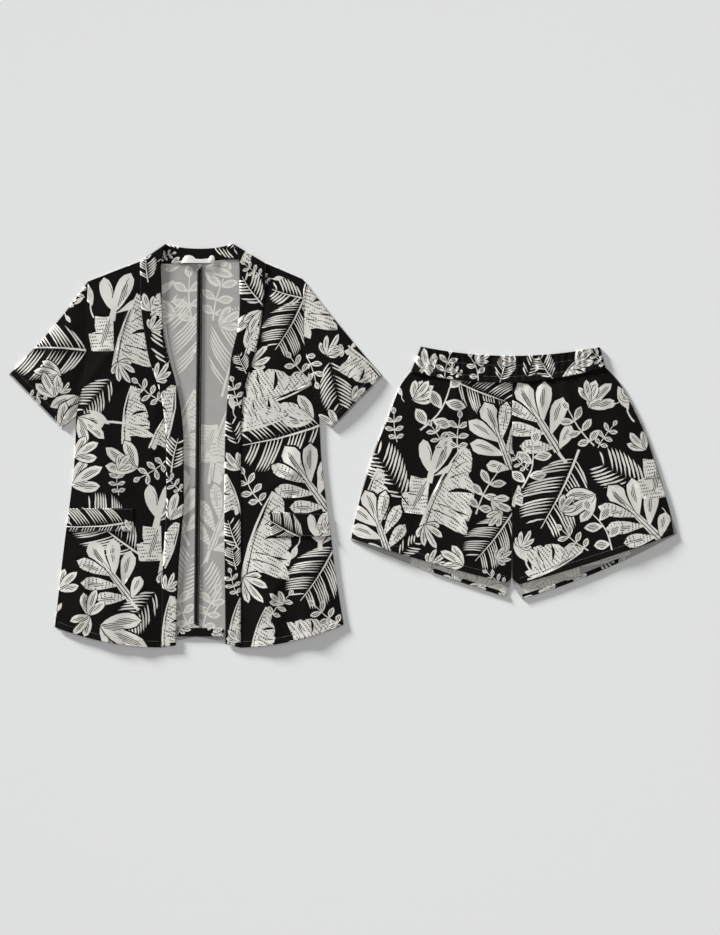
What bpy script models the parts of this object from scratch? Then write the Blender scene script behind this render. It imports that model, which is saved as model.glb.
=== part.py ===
"""Open-front shirt with wide kimono sleeves, and a pair of elastic-waist shorts, laid flat side by side.

Both garments lie face up on the surface at z = 0, the shirt on the left, the shorts on the right. The
cloth is a wall. Back pieces lie on the surface, front pieces lie on the backs, and each sleeve is a tube
pressed flat. Metres, +Z up, +Y towards the neck. The tables give millimetres in each garment's own frame:
x from its centre seam, and y down from its highest point.
"""

import math
from collections import namedtuple

import bmesh
import bpy
from mathutils import Vector

MM = 0.001

# Cloth: one layer, a folded band of two layers, the strips turned to the inside, and the seam gap.
WALL = 1.2
BAND_WALL = 2.4
STRIP_WALL = 1.0
SEAM_GAP = 0.3
UPPER = WALL + SEAM_GAP

# Distance between the centre seams of the two garments, and how far the shorts' waist lies below the neck.
GARMENT_SPACING = 561.6
SHORTS_DROP = 185.2

# Air under the upper layer: highest in the middle of a panel, none along the seams.
CROWN = 1.1
SEAM_FADE = 34.0
SLEEVE_SEAM_FADE = 26.0

# Shirt: parts across each panel, and stations over which the air under a front grows from the shoulder.
ACROSS = 9
FLAP_COLUMN = 3
BAND_ACROSS = 3
NECK_COLUMNS = 4
SHOULDER_STATIONS = 3.0
HEM_BOW = 9.0

# The back's neck seam and hem at its centre. The neck seam bows down on one side and up on the other.
NECK_SEAM_Y = 36.0
NECK_BOW_LEFT = 2.5
NECK_BOW_RIGHT = -7.0
NECK_BOW_STATIONS = 2.0
BACK_HEM_Y = 708.0
BACK_HEM_SHIFT = -6.5
BACK_HEM_KNEE = 11.0
KNEE_GAP = 0.5

# Front bands climb over the neck band from here up. The neck band's middle half has its own top edge.
BAND_CLIMB_Y = 96.0
BAND_CLIMB_LENGTH = 40.0
NECK_END_SHARE = 0.25
NECK_TOP_DIP = 8.0
NECK_TOP_ROUNDNESS = 0.7
NECK_TOP_GAP = 0.8

# Strips inside the back: parts along the seam, parts across the hem, and the gaps at their ends.
SEAM_STRIP_WIDTH = 9.4
SEAM_STRIP_PARTS = 14
SEAM_STRIP_TOP_GAP = 1.2
STRIP_END_GAP = 0.5
HEM_STRIP_DEPTH = 16.0
HEM_STRIP_PARTS = 6
HEM_STRIP_TUCK = 3.0
HEM_FOLD_GAP = 0.8

SLEEVE_STEPS = 7
SLEEVE_CURVE_SHARES = (0.4, 0.0)
SLEEVE_AIR_RISE = 3.0
LABEL_SIZE = (59.0, 14.0)
LABEL_CENTRE = (-4.5, 28.5)
LABEL_PARTS = 6

# Shorts.
LEG_ACROSS = 16
BACK_LEG_ACROSS = 6
LEG_HEM_LIFT = 1.1
LEG_AIR_REACH = 25.0
HEM_BOW_POWER = 4
HEM_ALLOWANCE = 8.5
LEG_FOLD_GAP = 0.6
BAND_PLY = 2.0
BAND_STEPS = 3
BAND_GATHERS = 26
POINTS_PER_GATHER = 3
BAND_END_FADE = 12.0
STITCHED_SHARE = 0.55
GATHER_HEIGHT = 1.2
GATHER_REACH = 30.0
# How the gathers bunch and spread along the band: by what share of a gather, and how fast.
GATHER_DRIFT = ((0.45, 9.0), (0.25, 31.0))

# A row is one section through a side of the shirt: its front opening, the band's seam and the side edge,
# and the number of steps down to the next row. The armhole is the side edge from shoulder to underarm.
ShirtRow = namedtuple("ShirtRow", "place opening_x opening_y seam_x seam_y side_x side_y steps")
SHIRT_LEFT = [
    ShirtRow("shoulder", -61, 0.5, -108, 32.5, -201.5, 68.5, 2),
    ShirtRow("yoke", -70, 40.5, -107.5, 75, -203, 111, 2),
    ShirtRow("mid armhole", -68, 112.5, -106, 114.5, -203.5, 156, 2),
    ShirtRow("chest", -65, 166.5, -99, 167, -205, 201, 1),
    ShirtRow("bust", -56, 206, -91, 210, -211.5, 255, 2),
    ShirtRow("underarm", -39.5, 269, -71, 273, -222.5, 312.5, 2),
    ShirtRow("waist", -29.5, 354, -61, 357, -224.5, 373.5, 3),
    ShirtRow("flap top", -29, 474, -60.5, 476, -235.5, 477, 1),
    ShirtRow("flap foot", -33, 518, -63, 518, -241, 518, 2),
    ShirtRow("hip", -38, 575, -66.5, 577, -247.5, 570, 3),
    ShirtRow("hem", -43.5, 723.5, -71, 727, -261, 690.5, 0),
]
SHIRT_RIGHT = [
    ShirtRow("shoulder", 59.5, 0.5, 118, 35.5, 184.5, 64, 2),
    ShirtRow("yoke", 70.5, 34, 117, 75, 186.5, 107, 2),
    ShirtRow("mid armhole", 71.5, 112.5, 113.5, 114.5, 186.5, 152, 2),
    ShirtRow("chest", 66.5, 161, 107, 165, 189, 188, 1),
    ShirtRow("bust", 56.5, 203, 96, 208, 197, 236, 2),
    ShirtRow("underarm", 50.5, 269, 78.5, 271, 214.5, 313, 2),
    ShirtRow("waist", 45, 357, 74, 361, 218, 381, 3),
    ShirtRow("flap top", 44, 480, 74, 482, 230, 486, 1),
    ShirtRow("flap foot", 44, 526, 74, 527, 236, 528, 2),
    ShirtRow("hip", 44.5, 575, 74, 577, 242, 580.5, 3),
    ShirtRow("hem", 46, 720.5, 74, 727.5, 258.5, 686, 0),
]
ARMHOLE_ROWS = 5

# Sleeve sections past the armhole: the upper fold and the underarm seam.
SleeveRow = namedtuple("SleeveRow", "place fold_x fold_y under_x under_y")
SLEEVE_LEFT = [
    SleeveRow("half way", -264.5, 150.5, -235.5, 322.5),
    SleeveRow("cuff", -341.5, 234, -247.5, 331),
]
SLEEVE_RIGHT = [
    SleeveRow("half way", 252, 149, 225.5, 323),
    SleeveRow("cuff", 327, 237, 236, 331),
]

# Soft folds of the shirt's fronts and sleeves: from one end to the other, half width and height.
Fold = namedtuple("Fold", "from_x from_y to_x to_y half_width height")
SHIRT_FOLDS = [
    Fold(-205, 330, -140, 470, 17, 1.9),
    Fold(-170, 110, -150, 250, 20, 1.2),
    Fold(-215, 590, -232, 700, 17, 2.0),
    Fold(-160, 560, -165, 735, 20, 2.2),
    Fold(-105, 600, -110, 735, 16, 1.8),
    Fold(-232, 290, -275, 205, 15, 1.8),
    Fold(-300, 225, -262, 290, 13, 1.5),
    Fold(200, 335, 150, 450, 16, 1.9),
    Fold(150, 100, 140, 240, 18, 1.2),
    Fold(120, 560, 128, 735, 19, 2.1),
    Fold(185, 570, 200, 730, 18, 2.2),
    Fold(222, 290, 262, 200, 15, 1.8),
    Fold(292, 225, 255, 290, 13, 1.5),
]

# A row is one section through a leg's front: the centre seam, the side seam, and steps to the next row.
LegRow = namedtuple("LegRow", "place centre_x centre_y side_x side_y steps")
FRONT_LEG_LEFT = [
    LegRow("waist", 0.8, 64.5, -183, 46.5, 1),
    LegRow("gathers", 0.6, 82, -200, 70, 2),
    LegRow("pocket top", 0.4, 150, -222, 127, 2),
    LegRow("pocket", 0.2, 222, -243, 179, 2),
    LegRow("pocket foot", 0, 312, -262, 237, 2),
    LegRow("crotch", -1, 416.5, -281, 304, 2),
    LegRow("hem", -11, 425, -289, 345.5, 0),
]
FRONT_LEG_RIGHT = [
    LegRow("waist", 0.8, 64.5, 167.5, 38.5, 1),
    LegRow("gathers", 0.6, 82, 189, 61.5, 2),
    LegRow("pocket top", 0.4, 150, 220, 116, 2),
    LegRow("pocket", 0.2, 222, 243, 168, 2),
    LegRow("pocket foot", 0, 312, 263, 230, 2),
    LegRow("crotch", 0.5, 416.5, 282.5, 291, 2),
    LegRow("hem", 14, 428, 291, 338, 0),
]
# The backs reach lower than the fronts, so the inside of each leg shows at its hem.
BackHem = namedtuple("BackHem", "centre_x centre_y side_x side_y bow")
BACK_HEM_LEFT = BackHem(-11, 451.5, -290.5, 348.5, 4.0)
BACK_HEM_RIGHT = BackHem(18, 455, 297, 337, 9.0)
POCKET_SIDE_EASE = 2.4
PLAIN_SIDE_EASE = 0.4
POCKET_ROWS = (2, 4)
FRONT_HEM_BOW = 3.0

# Waistband: left end, middle and right end of its seam and of its top edge.
WAIST_SEAM = ((-182, 45.5), (-6, 64.8), (168.5, 36.8))
WAIST_TOP = ((-164, 0.5), (-4, 17.2), (158, 1.5))

SHORTS_FOLDS = [
    Fold(88, 70, 122, 125, 9, 1.5),
    Fold(-95, 75, -150, 190, 15, 1.2),
    Fold(-40, 80, -52, 210, 14, 1.0),
    Fold(48, 80, 60, 200, 14, 1.0),
    Fold(-70, 300, -100, 430, 20, 1.2),
    Fold(-190, 250, -215, 380, 19, 1.5),
    Fold(-140, 330, -165, 405, 15, 1.1),
    Fold(75, 300, 105, 430, 20, 1.2),
    Fold(170, 240, 205, 375, 19, 1.5),
    Fold(150, 80, 205, 150, 12, 1.2),
]

BLACK_CLOTH = (0.011, 0.010, 0.009)
PRINT_AVERAGE = (0.30, 0.285, 0.26)
INSIDE_GREY = (0.33, 0.325, 0.31)
LABEL_WHITE = (0.86, 0.86, 0.85)


def clear_scene():
    for thing in list(bpy.data.objects):
        bpy.data.objects.remove(thing, do_unlink=True)


def make_material(name, colour, roughness):
    material = bpy.data.materials.new(name)
    material.use_nodes = True
    shader = material.node_tree.nodes["Principled BSDF"]
    shader.inputs["Base Color"].default_value = (*colour, 1.0)
    shader.inputs["Roughness"].default_value = roughness
    shader.inputs["Metallic"].default_value = 0.0
    material.diffuse_color = (*colour, 1.0)
    return material


def smooth_step(value):
    value = min(max(value, 0.0), 1.0)
    return value * value * (3.0 - 2.0 * value)


def blend(a, b, t):
    return (a[0] + (b[0] - a[0]) * t, a[1] + (b[1] - a[1]) * t)


def bowed(ends, t):
    """Point at t on the arc through a first, a middle and a last point."""
    first, middle, last = ends
    halfway = blend(first, last, 0.5)
    swell = 4.0 * t * (1.0 - t)
    x, y = blend(first, last, t)
    return (x + (middle[0] - halfway[0]) * swell, y + (middle[1] - halfway[1]) * swell)


def chain(points, steps):
    """Smooth curve through the points, with steps[i] parts after point i. It never swings past a point."""
    count = len(points)
    result = []
    gaps = [Vector(points[i + 1]) - Vector(points[i]) for i in range(count - 1)]
    slopes = [gaps[0]]
    for before, after in zip(gaps, gaps[1:]):
        slopes.append(Vector([2.0 * a * b / (a + b) if a * b > 0.0 else 0.0
                              for a, b in zip(before, after)]))
    slopes.append(gaps[-1])
    for i in range(count - 1):
        start, end = Vector(points[i]), Vector(points[i + 1])
        for k in range(steps[i]):
            t = k / steps[i]
            place = (start * (1 - 3 * t ** 2 + 2 * t ** 3) + end * (3 * t ** 2 - 2 * t ** 3)
                     + slopes[i] * (t * (1 - t) ** 2) - slopes[i + 1] * (t ** 2 * (1 - t)))
            result.append((place.x, place.y))
    result.append(tuple(points[-1]))
    return result


def fold_height(folds, x, y):
    """Height that the folds add at a point: a soft ridge along each fold, fading at its ends."""
    total = 0.0
    for fold in folds:
        along = Vector((fold.to_x - fold.from_x, fold.to_y - fold.from_y))
        offset = Vector((x - fold.from_x, y - fold.from_y))
        t = offset.dot(along) / along.length_squared
        side = (offset - along * t).length
        end_fade = smooth_step(min(t + 0.15, 1.15 - t) / 0.35)
        total += fold.height * end_fade * math.exp(-(side / fold.half_width) ** 2)
    return total


def seam_fade(u, width, reach=SEAM_FADE):
    """0 at either edge of a panel, 1 in its middle."""
    return smooth_step(min(u, 1.0 - u) * width / reach)


def add_piece(bm, name, material, parent, collection):
    mesh = bpy.data.meshes.new(name)
    bm.to_mesh(mesh)
    bm.free()
    mesh.materials.append(material)
    mesh.shade_smooth()
    piece = bpy.data.objects.new(name, mesh)
    collection.objects.link(piece)
    piece.parent = parent
    return piece


def grid_surface(points):
    """Open surface through rows of (x, y, z) in millimetres, its first axis down the garment."""
    rows, columns = len(points) - 1, len(points[0]) - 1
    bm = bmesh.new()
    bmesh.ops.create_grid(bm, x_segments=columns, y_segments=rows, size=0.5)
    for vert in bm.verts:
        column = round((vert.co.x + 0.5) * columns)
        row = round((0.5 - vert.co.y) * rows)
        x, y, z = points[row][column]
        vert.co = Vector((x * MM, -y * MM, z * MM))
    bm.normal_update()
    return bm


def sheet(name, points, wall, material, parent, collection):
    """Panel whose underside passes through the points and whose wall rises from it."""
    bm = grid_surface(points)
    if sum(face.normal.z for face in bm.faces) < 0.0:
        bmesh.ops.reverse_faces(bm, faces=bm.faces[:])
    piece = add_piece(bm, name, material, parent, collection)
    shell = piece.modifiers.new("cloth wall", "SOLIDIFY")
    shell.thickness = wall * MM
    shell.offset = 1.0
    return piece


def flat_tube(name, outer, inner, material, parent, collection):
    """Tube pressed flat, open at both ends: a loft along its outside, then back along its inside."""
    rings = outer + inner[::-1] + [outer[0]]
    bm = grid_surface([ring + [ring[0]] for ring in rings])
    bmesh.ops.remove_doubles(bm, verts=bm.verts[:], dist=0.00001)
    bm.normal_update()
    highest = max(bm.faces, key=lambda face: face.calc_center_median().z)
    if highest.normal.z < 0.0:
        bmesh.ops.reverse_faces(bm, faces=bm.faces[:])
    return add_piece(bm, name, material, parent, collection)


def round_edge(low, high, neighbour):
    """Three points round the fold between a lower and an upper point, away from the neighbour."""
    outward = Vector((low[0] - neighbour[0], low[1] - neighbour[1])).normalized()
    radius = (high[2] - low[2]) / 2.0
    middle = (high[2] + low[2]) / 2.0
    points = []
    for angle in (-45.0, 0.0, 45.0):
        reach = radius * math.cos(math.radians(angle))
        climb = radius * math.sin(math.radians(angle))
        points.append((low[0] + outward.x * reach, low[1] + outward.y * reach, middle + climb))
    return points


def flat_ring(run, lower, upper):
    """Closed ring round a run of (x, y): along it at the lower heights, and back at the upper ones."""
    under = [(x, y, z) for (x, y), z in zip(run, lower)]
    over = [(x, y, z) for (x, y), z in zip(run, upper)]
    far = round_edge(under[-1], over[-1], under[-2])
    near = round_edge(under[0], over[0], under[1])
    return under + far + over[::-1] + near[::-1]


def inset_run(run, inset):
    """The same run of (x, y), with its first and last point moved in by the inset."""
    result = list(run)
    for end, neighbour in ((0, 1), (-1, -2)):
        step = Vector((run[neighbour][0] - run[end][0], run[neighbour][1] - run[end][1]))
        move = step.normalized() * inset
        result[end] = (run[end][0] + move.x, run[end][1] + move.y)
    return result


class ShirtSide:
    """The opening, band seam and side edge of one half of the shirt, at shared stations."""

    def __init__(self, rows):
        steps = [row.steps for row in rows]
        self.opening = chain([(row.opening_x, row.opening_y) for row in rows], steps)
        self.seam = chain([(row.seam_x, row.seam_y) for row in rows], steps)
        self.side = chain([(row.side_x, row.side_y) for row in rows], steps)
        self.sign = 1.0 if rows[0].side_x > 0.0 else -1.0
        self.armhole_count = sum(steps[:ARMHOLE_ROWS])
        places = [row.place for row in rows]
        self.flap = [sum(steps[:places.index(place)]) for place in ("flap top", "flap foot")]
        self.hem_start = sum(steps[:places.index("hip")])


def front_points(half):
    """Underside of a front: flat at its seams, with air and folds under its middle."""
    last = len(half.seam) - 1
    grid = []
    for j, (inner, outer) in enumerate(zip(half.seam, half.side)):
        width = abs(outer[0] - inner[0])
        hem_share = max(0.0, (j - half.hem_start) / (last - half.hem_start)) ** 2
        row = []
        for i in range(ACROSS + 1):
            u = i / ACROSS
            x, y = blend(inner, outer, u)
            y += HEM_BOW * hem_share * 4.0 * u * (1.0 - u)
            fade = seam_fade(u, width) * smooth_step(j / SHOULDER_STATIONS)
            air = CROWN + fold_height(SHIRT_FOLDS, x, y)
            row.append((x, y, UPPER + fade * air))
        grid.append(row)
    return grid


def back_points(half):
    """Underside of a back: flat on the surface, from the centre seam past the neck to the side."""
    last = len(half.seam) - 1
    knee_top = half.seam[0][1] + KNEE_GAP
    knee_foot = half.seam[last][1] + KNEE_GAP - BACK_HEM_KNEE
    neck_bow = NECK_BOW_LEFT if half.sign < 0.0 else NECK_BOW_RIGHT
    grid = []
    for j, (knee, outer) in enumerate(zip(half.seam, half.side)):
        t = j / last
        centre_x = BACK_HEM_SHIFT * t + half.sign * SEAM_GAP / 2.0
        knee_y = knee[1] + KNEE_GAP - BACK_HEM_KNEE * t * t
        down = (knee_y - knee_top) / (knee_foot - knee_top)
        centre_y = NECK_SEAM_Y + (BACK_HEM_Y - NECK_SEAM_Y) * down
        bow = neck_bow * smooth_step(1.0 - j / NECK_BOW_STATIONS)
        row = []
        for i in range(NECK_COLUMNS):
            u = i / NECK_COLUMNS
            x, y = blend((centre_x, centre_y), (knee[0], knee_y), u)
            row.append((x, y + bow * 4.0 * u * (1.0 - u), 0.0))
        for i in range(ACROSS - NECK_COLUMNS + 1):
            x, y = blend((knee[0], knee_y), outer, i / (ACROSS - NECK_COLUMNS))
            row.append((x, y, 0.0))
        grid.append(row)
    return grid


def band_points(half):
    """Underside of a front band. Near the neck it climbs over the back of the band."""
    grid = []
    for j, (opening, seam) in enumerate(zip(half.opening, half.seam)):
        edge = (seam[0] - half.sign * SEAM_GAP, seam[1])
        row = []
        for i in range(BAND_ACROSS + 1):
            x, y = blend(edge, opening, i / BAND_ACROSS)
            climb = (BAND_WALL - WALL) * smooth_step((BAND_CLIMB_Y - y) / BAND_CLIMB_LENGTH)
            row.append((x, y, UPPER + climb))
        grid.append(row)
    return grid


def neck_band_points(left, right):
    """Back of the neck band, edge to edge with the back panels, up to the fold at its top."""
    seam = []
    for half, order in ((left, -1), (right, 1)):
        row = [(x, y) for x, y, _ in back_points(half)[0][:NECK_COLUMNS + 1]]
        seam += row[::-1] if order < 0 else row[1:]
    ends = (left.seam[0], right.seam[0])
    tops = (left.opening[0], right.opening[0])
    grid_top, grid_seam = [], []
    last = len(seam) - 1
    for i, (x, y) in enumerate(seam):
        u = i / last
        if u < NECK_END_SHARE:
            top = blend(ends[0], tops[0], u / NECK_END_SHARE)
        elif u > 1.0 - NECK_END_SHARE:
            top = blend(tops[1], ends[1], (u - 1.0 + NECK_END_SHARE) / NECK_END_SHARE)
        else:
            across = (u - NECK_END_SHARE) / (1.0 - 2.0 * NECK_END_SHARE)
            top = blend(tops[0], tops[1], across)
            dip = NECK_TOP_DIP * math.sin(math.pi * across) ** NECK_TOP_ROUNDNESS
            top = (top[0], top[1] + dip)
        grid_top.append((top[0], top[1] + NECK_TOP_GAP, 0.0))
        grid_seam.append((x, y - SEAM_GAP, 0.0))
    middle = [((a[0] + b[0]) / 2.0, (a[1] + b[1]) / 2.0, 0.0) for a, b in zip(grid_top, grid_seam)]
    return [grid_top, middle, grid_seam]


def sleeve_rings(half, rows):
    """Outer and inner rings from the armhole to the cuff: flat below, with air and folds above."""
    armhole = [(x + half.sign * SEAM_GAP, y) for x, y in half.side[:half.armhole_count + 1]]
    columns = len(armhole) - 1
    runs = [armhole]
    for row, curve_share in zip(rows, SLEEVE_CURVE_SHARES):
        run = []
        for i in range(columns + 1):
            x, y = blend((row.fold_x, row.fold_y), (row.under_x, row.under_y), i / columns)
            straight_x = blend(armhole[0], armhole[-1], i / columns)[0]
            run.append((x + (armhole[i][0] - straight_x) * curve_share, y))
        runs.append(run)
    outer, inner = [], []
    for k in range(SLEEVE_STEPS + 1):
        t = k / SLEEVE_STEPS
        run = [bowed((runs[0][i], runs[1][i], runs[2][i]), t) for i in range(columns + 1)]
        width = math.dist(run[0], run[-1])
        run = inset_run(run, WALL + SEAM_GAP / 2.0)
        top = []
        for i, (x, y) in enumerate(run):
            air = (CROWN + fold_height(SHIRT_FOLDS, x, y)) * smooth_step(t * SLEEVE_AIR_RISE)
            top.append(UPPER + WALL + seam_fade(i / columns, width, SLEEVE_SEAM_FADE) * air)
        outer.append(flat_ring(run, [0.0] * len(run), top))
        inner.append(flat_ring(run, [WALL] * len(run), [z - WALL for z in top]))
    return outer, inner


def build_shirt(collection, parent):
    cloth = {name: make_material(name, PRINT_AVERAGE, 0.85)
             for name in ("front_left", "front_right", "sleeve_left", "sleeve_right",
                          "band_left", "band_right", "flap_left", "flap_right")}
    halves = {"left": ShirtSide(SHIRT_LEFT), "right": ShirtSide(SHIRT_RIGHT)}
    for side, half in halves.items():
        inside = make_material("back_" + side, INSIDE_GREY, 0.9)
        front = front_points(half)
        sheet("shirt_back_" + side, back_points(half), WALL, inside, parent, collection)
        sheet("shirt_front_" + side, front, WALL, cloth["front_" + side], parent, collection)
        sheet("shirt_band_" + side, band_points(half), BAND_WALL, cloth["band_" + side], parent,
              collection)
        top, foot = half.flap
        flap = [[(x, y, z + UPPER) for x, y, z in row[FLAP_COLUMN:]] for row in front[top:foot + 1]]
        sheet("shirt_flap_" + side, flap, WALL, cloth["flap_" + side], parent, collection)
        rows = SLEEVE_LEFT if side == "left" else SLEEVE_RIGHT
        flat_tube("shirt_sleeve_" + side, *sleeve_rings(half, rows), cloth["sleeve_" + side], parent,
                  collection)
    neck = make_material("band_neck", BLACK_CLOTH, 0.85)
    sheet("shirt_band_neck", neck_band_points(halves["left"], halves["right"]), BAND_WALL, neck,
          parent, collection)
    build_back_strips(halves, collection, parent)
    build_label(collection, parent)


def build_back_strips(halves, collection, parent):
    """Seam allowance down the centre back, and the hem turned up between the two bands."""
    hem_top = BACK_HEM_Y - HEM_STRIP_DEPTH
    strip_top = NECK_SEAM_Y + SEAM_STRIP_TOP_GAP
    strip = []
    for j in range(SEAM_STRIP_PARTS + 1):
        y = strip_top + (hem_top - STRIP_END_GAP - strip_top) * j / SEAM_STRIP_PARTS
        middle = BACK_HEM_SHIFT * (y - NECK_SEAM_Y) / (BACK_HEM_Y - NECK_SEAM_Y)
        half_width = SEAM_STRIP_WIDTH / 2.0
        strip.append([(middle - half_width, y, UPPER), (middle + half_width, y, UPPER)])
    seam_cloth = make_material("back_seam", BLACK_CLOTH, 0.85)
    sheet("shirt_back_seam", strip, STRIP_WALL, seam_cloth, parent, collection)
    left = halves["left"].opening[-1][0] + HEM_STRIP_TUCK
    right = halves["right"].opening[-1][0] - HEM_STRIP_TUCK
    hem = []
    for y in (hem_top, BACK_HEM_Y - HEM_FOLD_GAP):
        hem.append([(left + (right - left) * i / HEM_STRIP_PARTS, y, UPPER)
                    for i in range(HEM_STRIP_PARTS + 1)])
    hem_cloth = make_material("back_hem", BLACK_CLOTH, 0.85)
    sheet("shirt_back_hem", hem, STRIP_WALL, hem_cloth, parent, collection)


def build_label(collection, parent):
    """Blank woven label that lies on the back of the neck band."""
    width, depth = LABEL_SIZE
    centre_x, centre_y = LABEL_CENTRE
    rows = []
    for y in (centre_y - depth / 2.0, centre_y, centre_y + depth / 2.0):
        rows.append([(centre_x + width * (i / LABEL_PARTS - 0.5), y, BAND_WALL + SEAM_GAP)
                     for i in range(LABEL_PARTS + 1)])
    label = make_material("label", LABEL_WHITE, 0.6)
    sheet("shirt_label", rows, STRIP_WALL, label, parent, collection)


def waist_seam_point(x):
    """Height of the waist seam at x, on the arc through its three points."""
    low, high = WAIST_SEAM[0][0], WAIST_SEAM[2][0]
    t = min(max((x - low) / (high - low), 0.0), 1.0)
    return bowed(WAIST_SEAM, t)[1]


def gather(x):
    """Uneven gathers along the waist, from 0 in the valleys to 1 on the ridges."""
    t = (x - WAIST_SEAM[0][0]) / (WAIST_SEAM[2][0] - WAIST_SEAM[0][0])
    phase = BAND_GATHERS * t + sum(share * math.sin(pace * t) for share, pace in GATHER_DRIFT)
    return 0.5 - 0.5 * math.cos(2.0 * math.pi * phase)


def leg_points(rows, across, hem_bow, back):
    """Underside of one leg's panel, from the waist seam to the hem."""
    steps = [row.steps for row in rows]
    centre = chain([(row.centre_x, row.centre_y) for row in rows], steps)
    side = chain([(row.side_x, row.side_y) for row in rows], steps)
    sign = 1.0 if rows[0].side_x > 0.0 else -1.0
    last = len(centre) - 1
    grid = []
    for j, (inner, outer) in enumerate(zip(centre, side)):
        t = j / last
        inner_x = inner[0] + sign * SEAM_GAP / 2.0
        width = abs(outer[0] - inner_x)
        row = []
        for i in range(across + 1):
            u = i / across
            x, y = blend((inner_x, inner[1]), outer, u)
            waist = smooth_step(1.0 - t * 3.0)
            straight_waist = centre[0][1] + (side[0][1] - centre[0][1]) * u
            y += (waist_seam_point(x) + SEAM_GAP - straight_waist) * waist
            y += hem_bow * t ** HEM_BOW_POWER * 4.0 * u * (1.0 - u)
            z = 0.0
            if not back:
                fade = seam_fade(u, width)
                air = CROWN + fold_height(SHORTS_FOLDS, x, y) + LEG_HEM_LIFT * smooth_step(t * 4.0 - 3.0)
                below = y - waist_seam_point(x)
                pucker = GATHER_HEIGHT * gather(x) * math.exp(-below / GATHER_REACH)
                z = UPPER + fade * (air * smooth_step(below / LEG_AIR_REACH) + pucker)
            row.append((x, y, z))
        grid.append(row)
    return grid


def back_leg_rows(front_rows, hem):
    """The front's rows, reaching out past the pocket openings and down to the lower hem."""
    sign = 1.0 if front_rows[0].side_x > 0.0 else -1.0
    rows = []
    for number, row in enumerate(front_rows[:-1]):
        ease = POCKET_SIDE_EASE if POCKET_ROWS[0] <= number <= POCKET_ROWS[1] else PLAIN_SIDE_EASE
        rows.append(row._replace(side_x=row.side_x + sign * ease))
    rows.append(LegRow("hem", hem.centre_x, hem.centre_y, hem.side_x, hem.side_y, 0))
    return rows


def hem_strip_points(back_grid, first, last_column):
    """Allowance turned up inside the back of a leg's hem, where the front doesn't cover it."""
    hem = back_grid[-1][first:last_column + 1]
    above = [(x, y - HEM_ALLOWANCE) for x, y, _ in hem]
    return [[(x, y, UPPER) for x, y in above], [(x, y - LEG_FOLD_GAP, UPPER) for x, y, _ in hem]]


def waistband_rings():
    """Outer and inner rings from the waist seam to the top edge, flat below and gathered above."""
    columns = BAND_GATHERS * POINTS_PER_GATHER
    outer, inner = [], []
    for k in range(BAND_STEPS + 1):
        t = k / BAND_STEPS
        ends = [blend(low, high, t) for low, high in zip(WAIST_SEAM, WAIST_TOP)]
        run = inset_run([bowed(ends, i / columns) for i in range(columns + 1)], BAND_PLY + SEAM_GAP / 2.0)
        pull = 1.0 if k in (0, BAND_STEPS) else STITCHED_SHARE
        top = []
        for i in range(columns + 1):
            crest = GATHER_HEIGHT * gather(bowed(WAIST_SEAM, i / columns)[0])
            fade = seam_fade(i / columns, WAIST_SEAM[2][0] - WAIST_SEAM[0][0], BAND_END_FADE)
            top.append(2.0 * BAND_PLY + SEAM_GAP + crest * pull * fade)
        outer.append(flat_ring(run, [0.0] * len(run), top))
        if k in (0, BAND_STEPS):
            inner.append(flat_ring(run, [BAND_PLY] * len(run), [z - BAND_PLY for z in top]))
    return outer, inner


def build_shorts(collection, parent):
    legs = {
        "left": (FRONT_LEG_LEFT, BACK_HEM_LEFT, (0, 3)),
        "right": (FRONT_LEG_RIGHT, BACK_HEM_RIGHT, (0, 4)),
    }
    for side, (rows, hem, covered) in legs.items():
        cloth = make_material("leg_front_" + side, PRINT_AVERAGE, 0.85)
        inside = make_material("leg_back_" + side, INSIDE_GREY, 0.9)
        back = leg_points(back_leg_rows(rows, hem), BACK_LEG_ACROSS, hem.bow, True)
        front = leg_points(rows, LEG_ACROSS, FRONT_HEM_BOW, False)
        sheet("shorts_back_" + side, back, WALL, inside, parent, collection)
        sheet("shorts_front_" + side, front, WALL, cloth, parent, collection)
        hem_cloth = make_material("leg_hem_" + side, BLACK_CLOTH, 0.85)
        sheet("shorts_hem_" + side, hem_strip_points(back, *covered), STRIP_WALL, hem_cloth, parent,
              collection)
    band = make_material("waistband", PRINT_AVERAGE, 0.85)
    flat_tube("shorts_waistband", *waistband_rings(), band, parent, collection)


def centre_on_origin(root, collection):
    """Move the whole set so that its box is centred on the origin in x and y."""
    bpy.context.view_layer.update()
    corners = [piece.matrix_world @ Vector(corner)
               for piece in collection.objects if piece.type == "MESH" for corner in piece.bound_box]
    for axis in (0, 1):
        values = [corner[axis] for corner in corners]
        root.location[axis] -= (min(values) + max(values)) / 2.0


def add_empty(name, location, parent, collection):
    empty = bpy.data.objects.new(name, None)
    empty.location = location
    empty.parent = parent
    collection.objects.link(empty)
    return empty


clear_scene()
garments = bpy.data.collections.new("Shirt and shorts set")
bpy.context.scene.collection.children.link(garments)
whole_set = add_empty("Set", (0.0, 0.0, 0.0), None, garments)
shirt_place = add_empty("Shirt", (0.0, 0.0, 0.0), whole_set, garments)
shorts_place = add_empty("Shorts", (GARMENT_SPACING * MM, -SHORTS_DROP * MM, 0.0), whole_set, garments)
build_shirt(garments, shirt_place)
build_shorts(garments, shorts_place)
centre_on_origin(whole_set, garments)
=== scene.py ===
"""Dressed scene of a set laid flat: an open-front leaf-print shirt with kimono sleeves, and shorts."""

import math
import random
from collections import namedtuple

import bmesh
import bpy
import numpy as np
from mathutils import Matrix, Vector, noise
from mathutils.bvhtree import BVHTree
from mathutils.geometry import delaunay_2d_cdt


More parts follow.
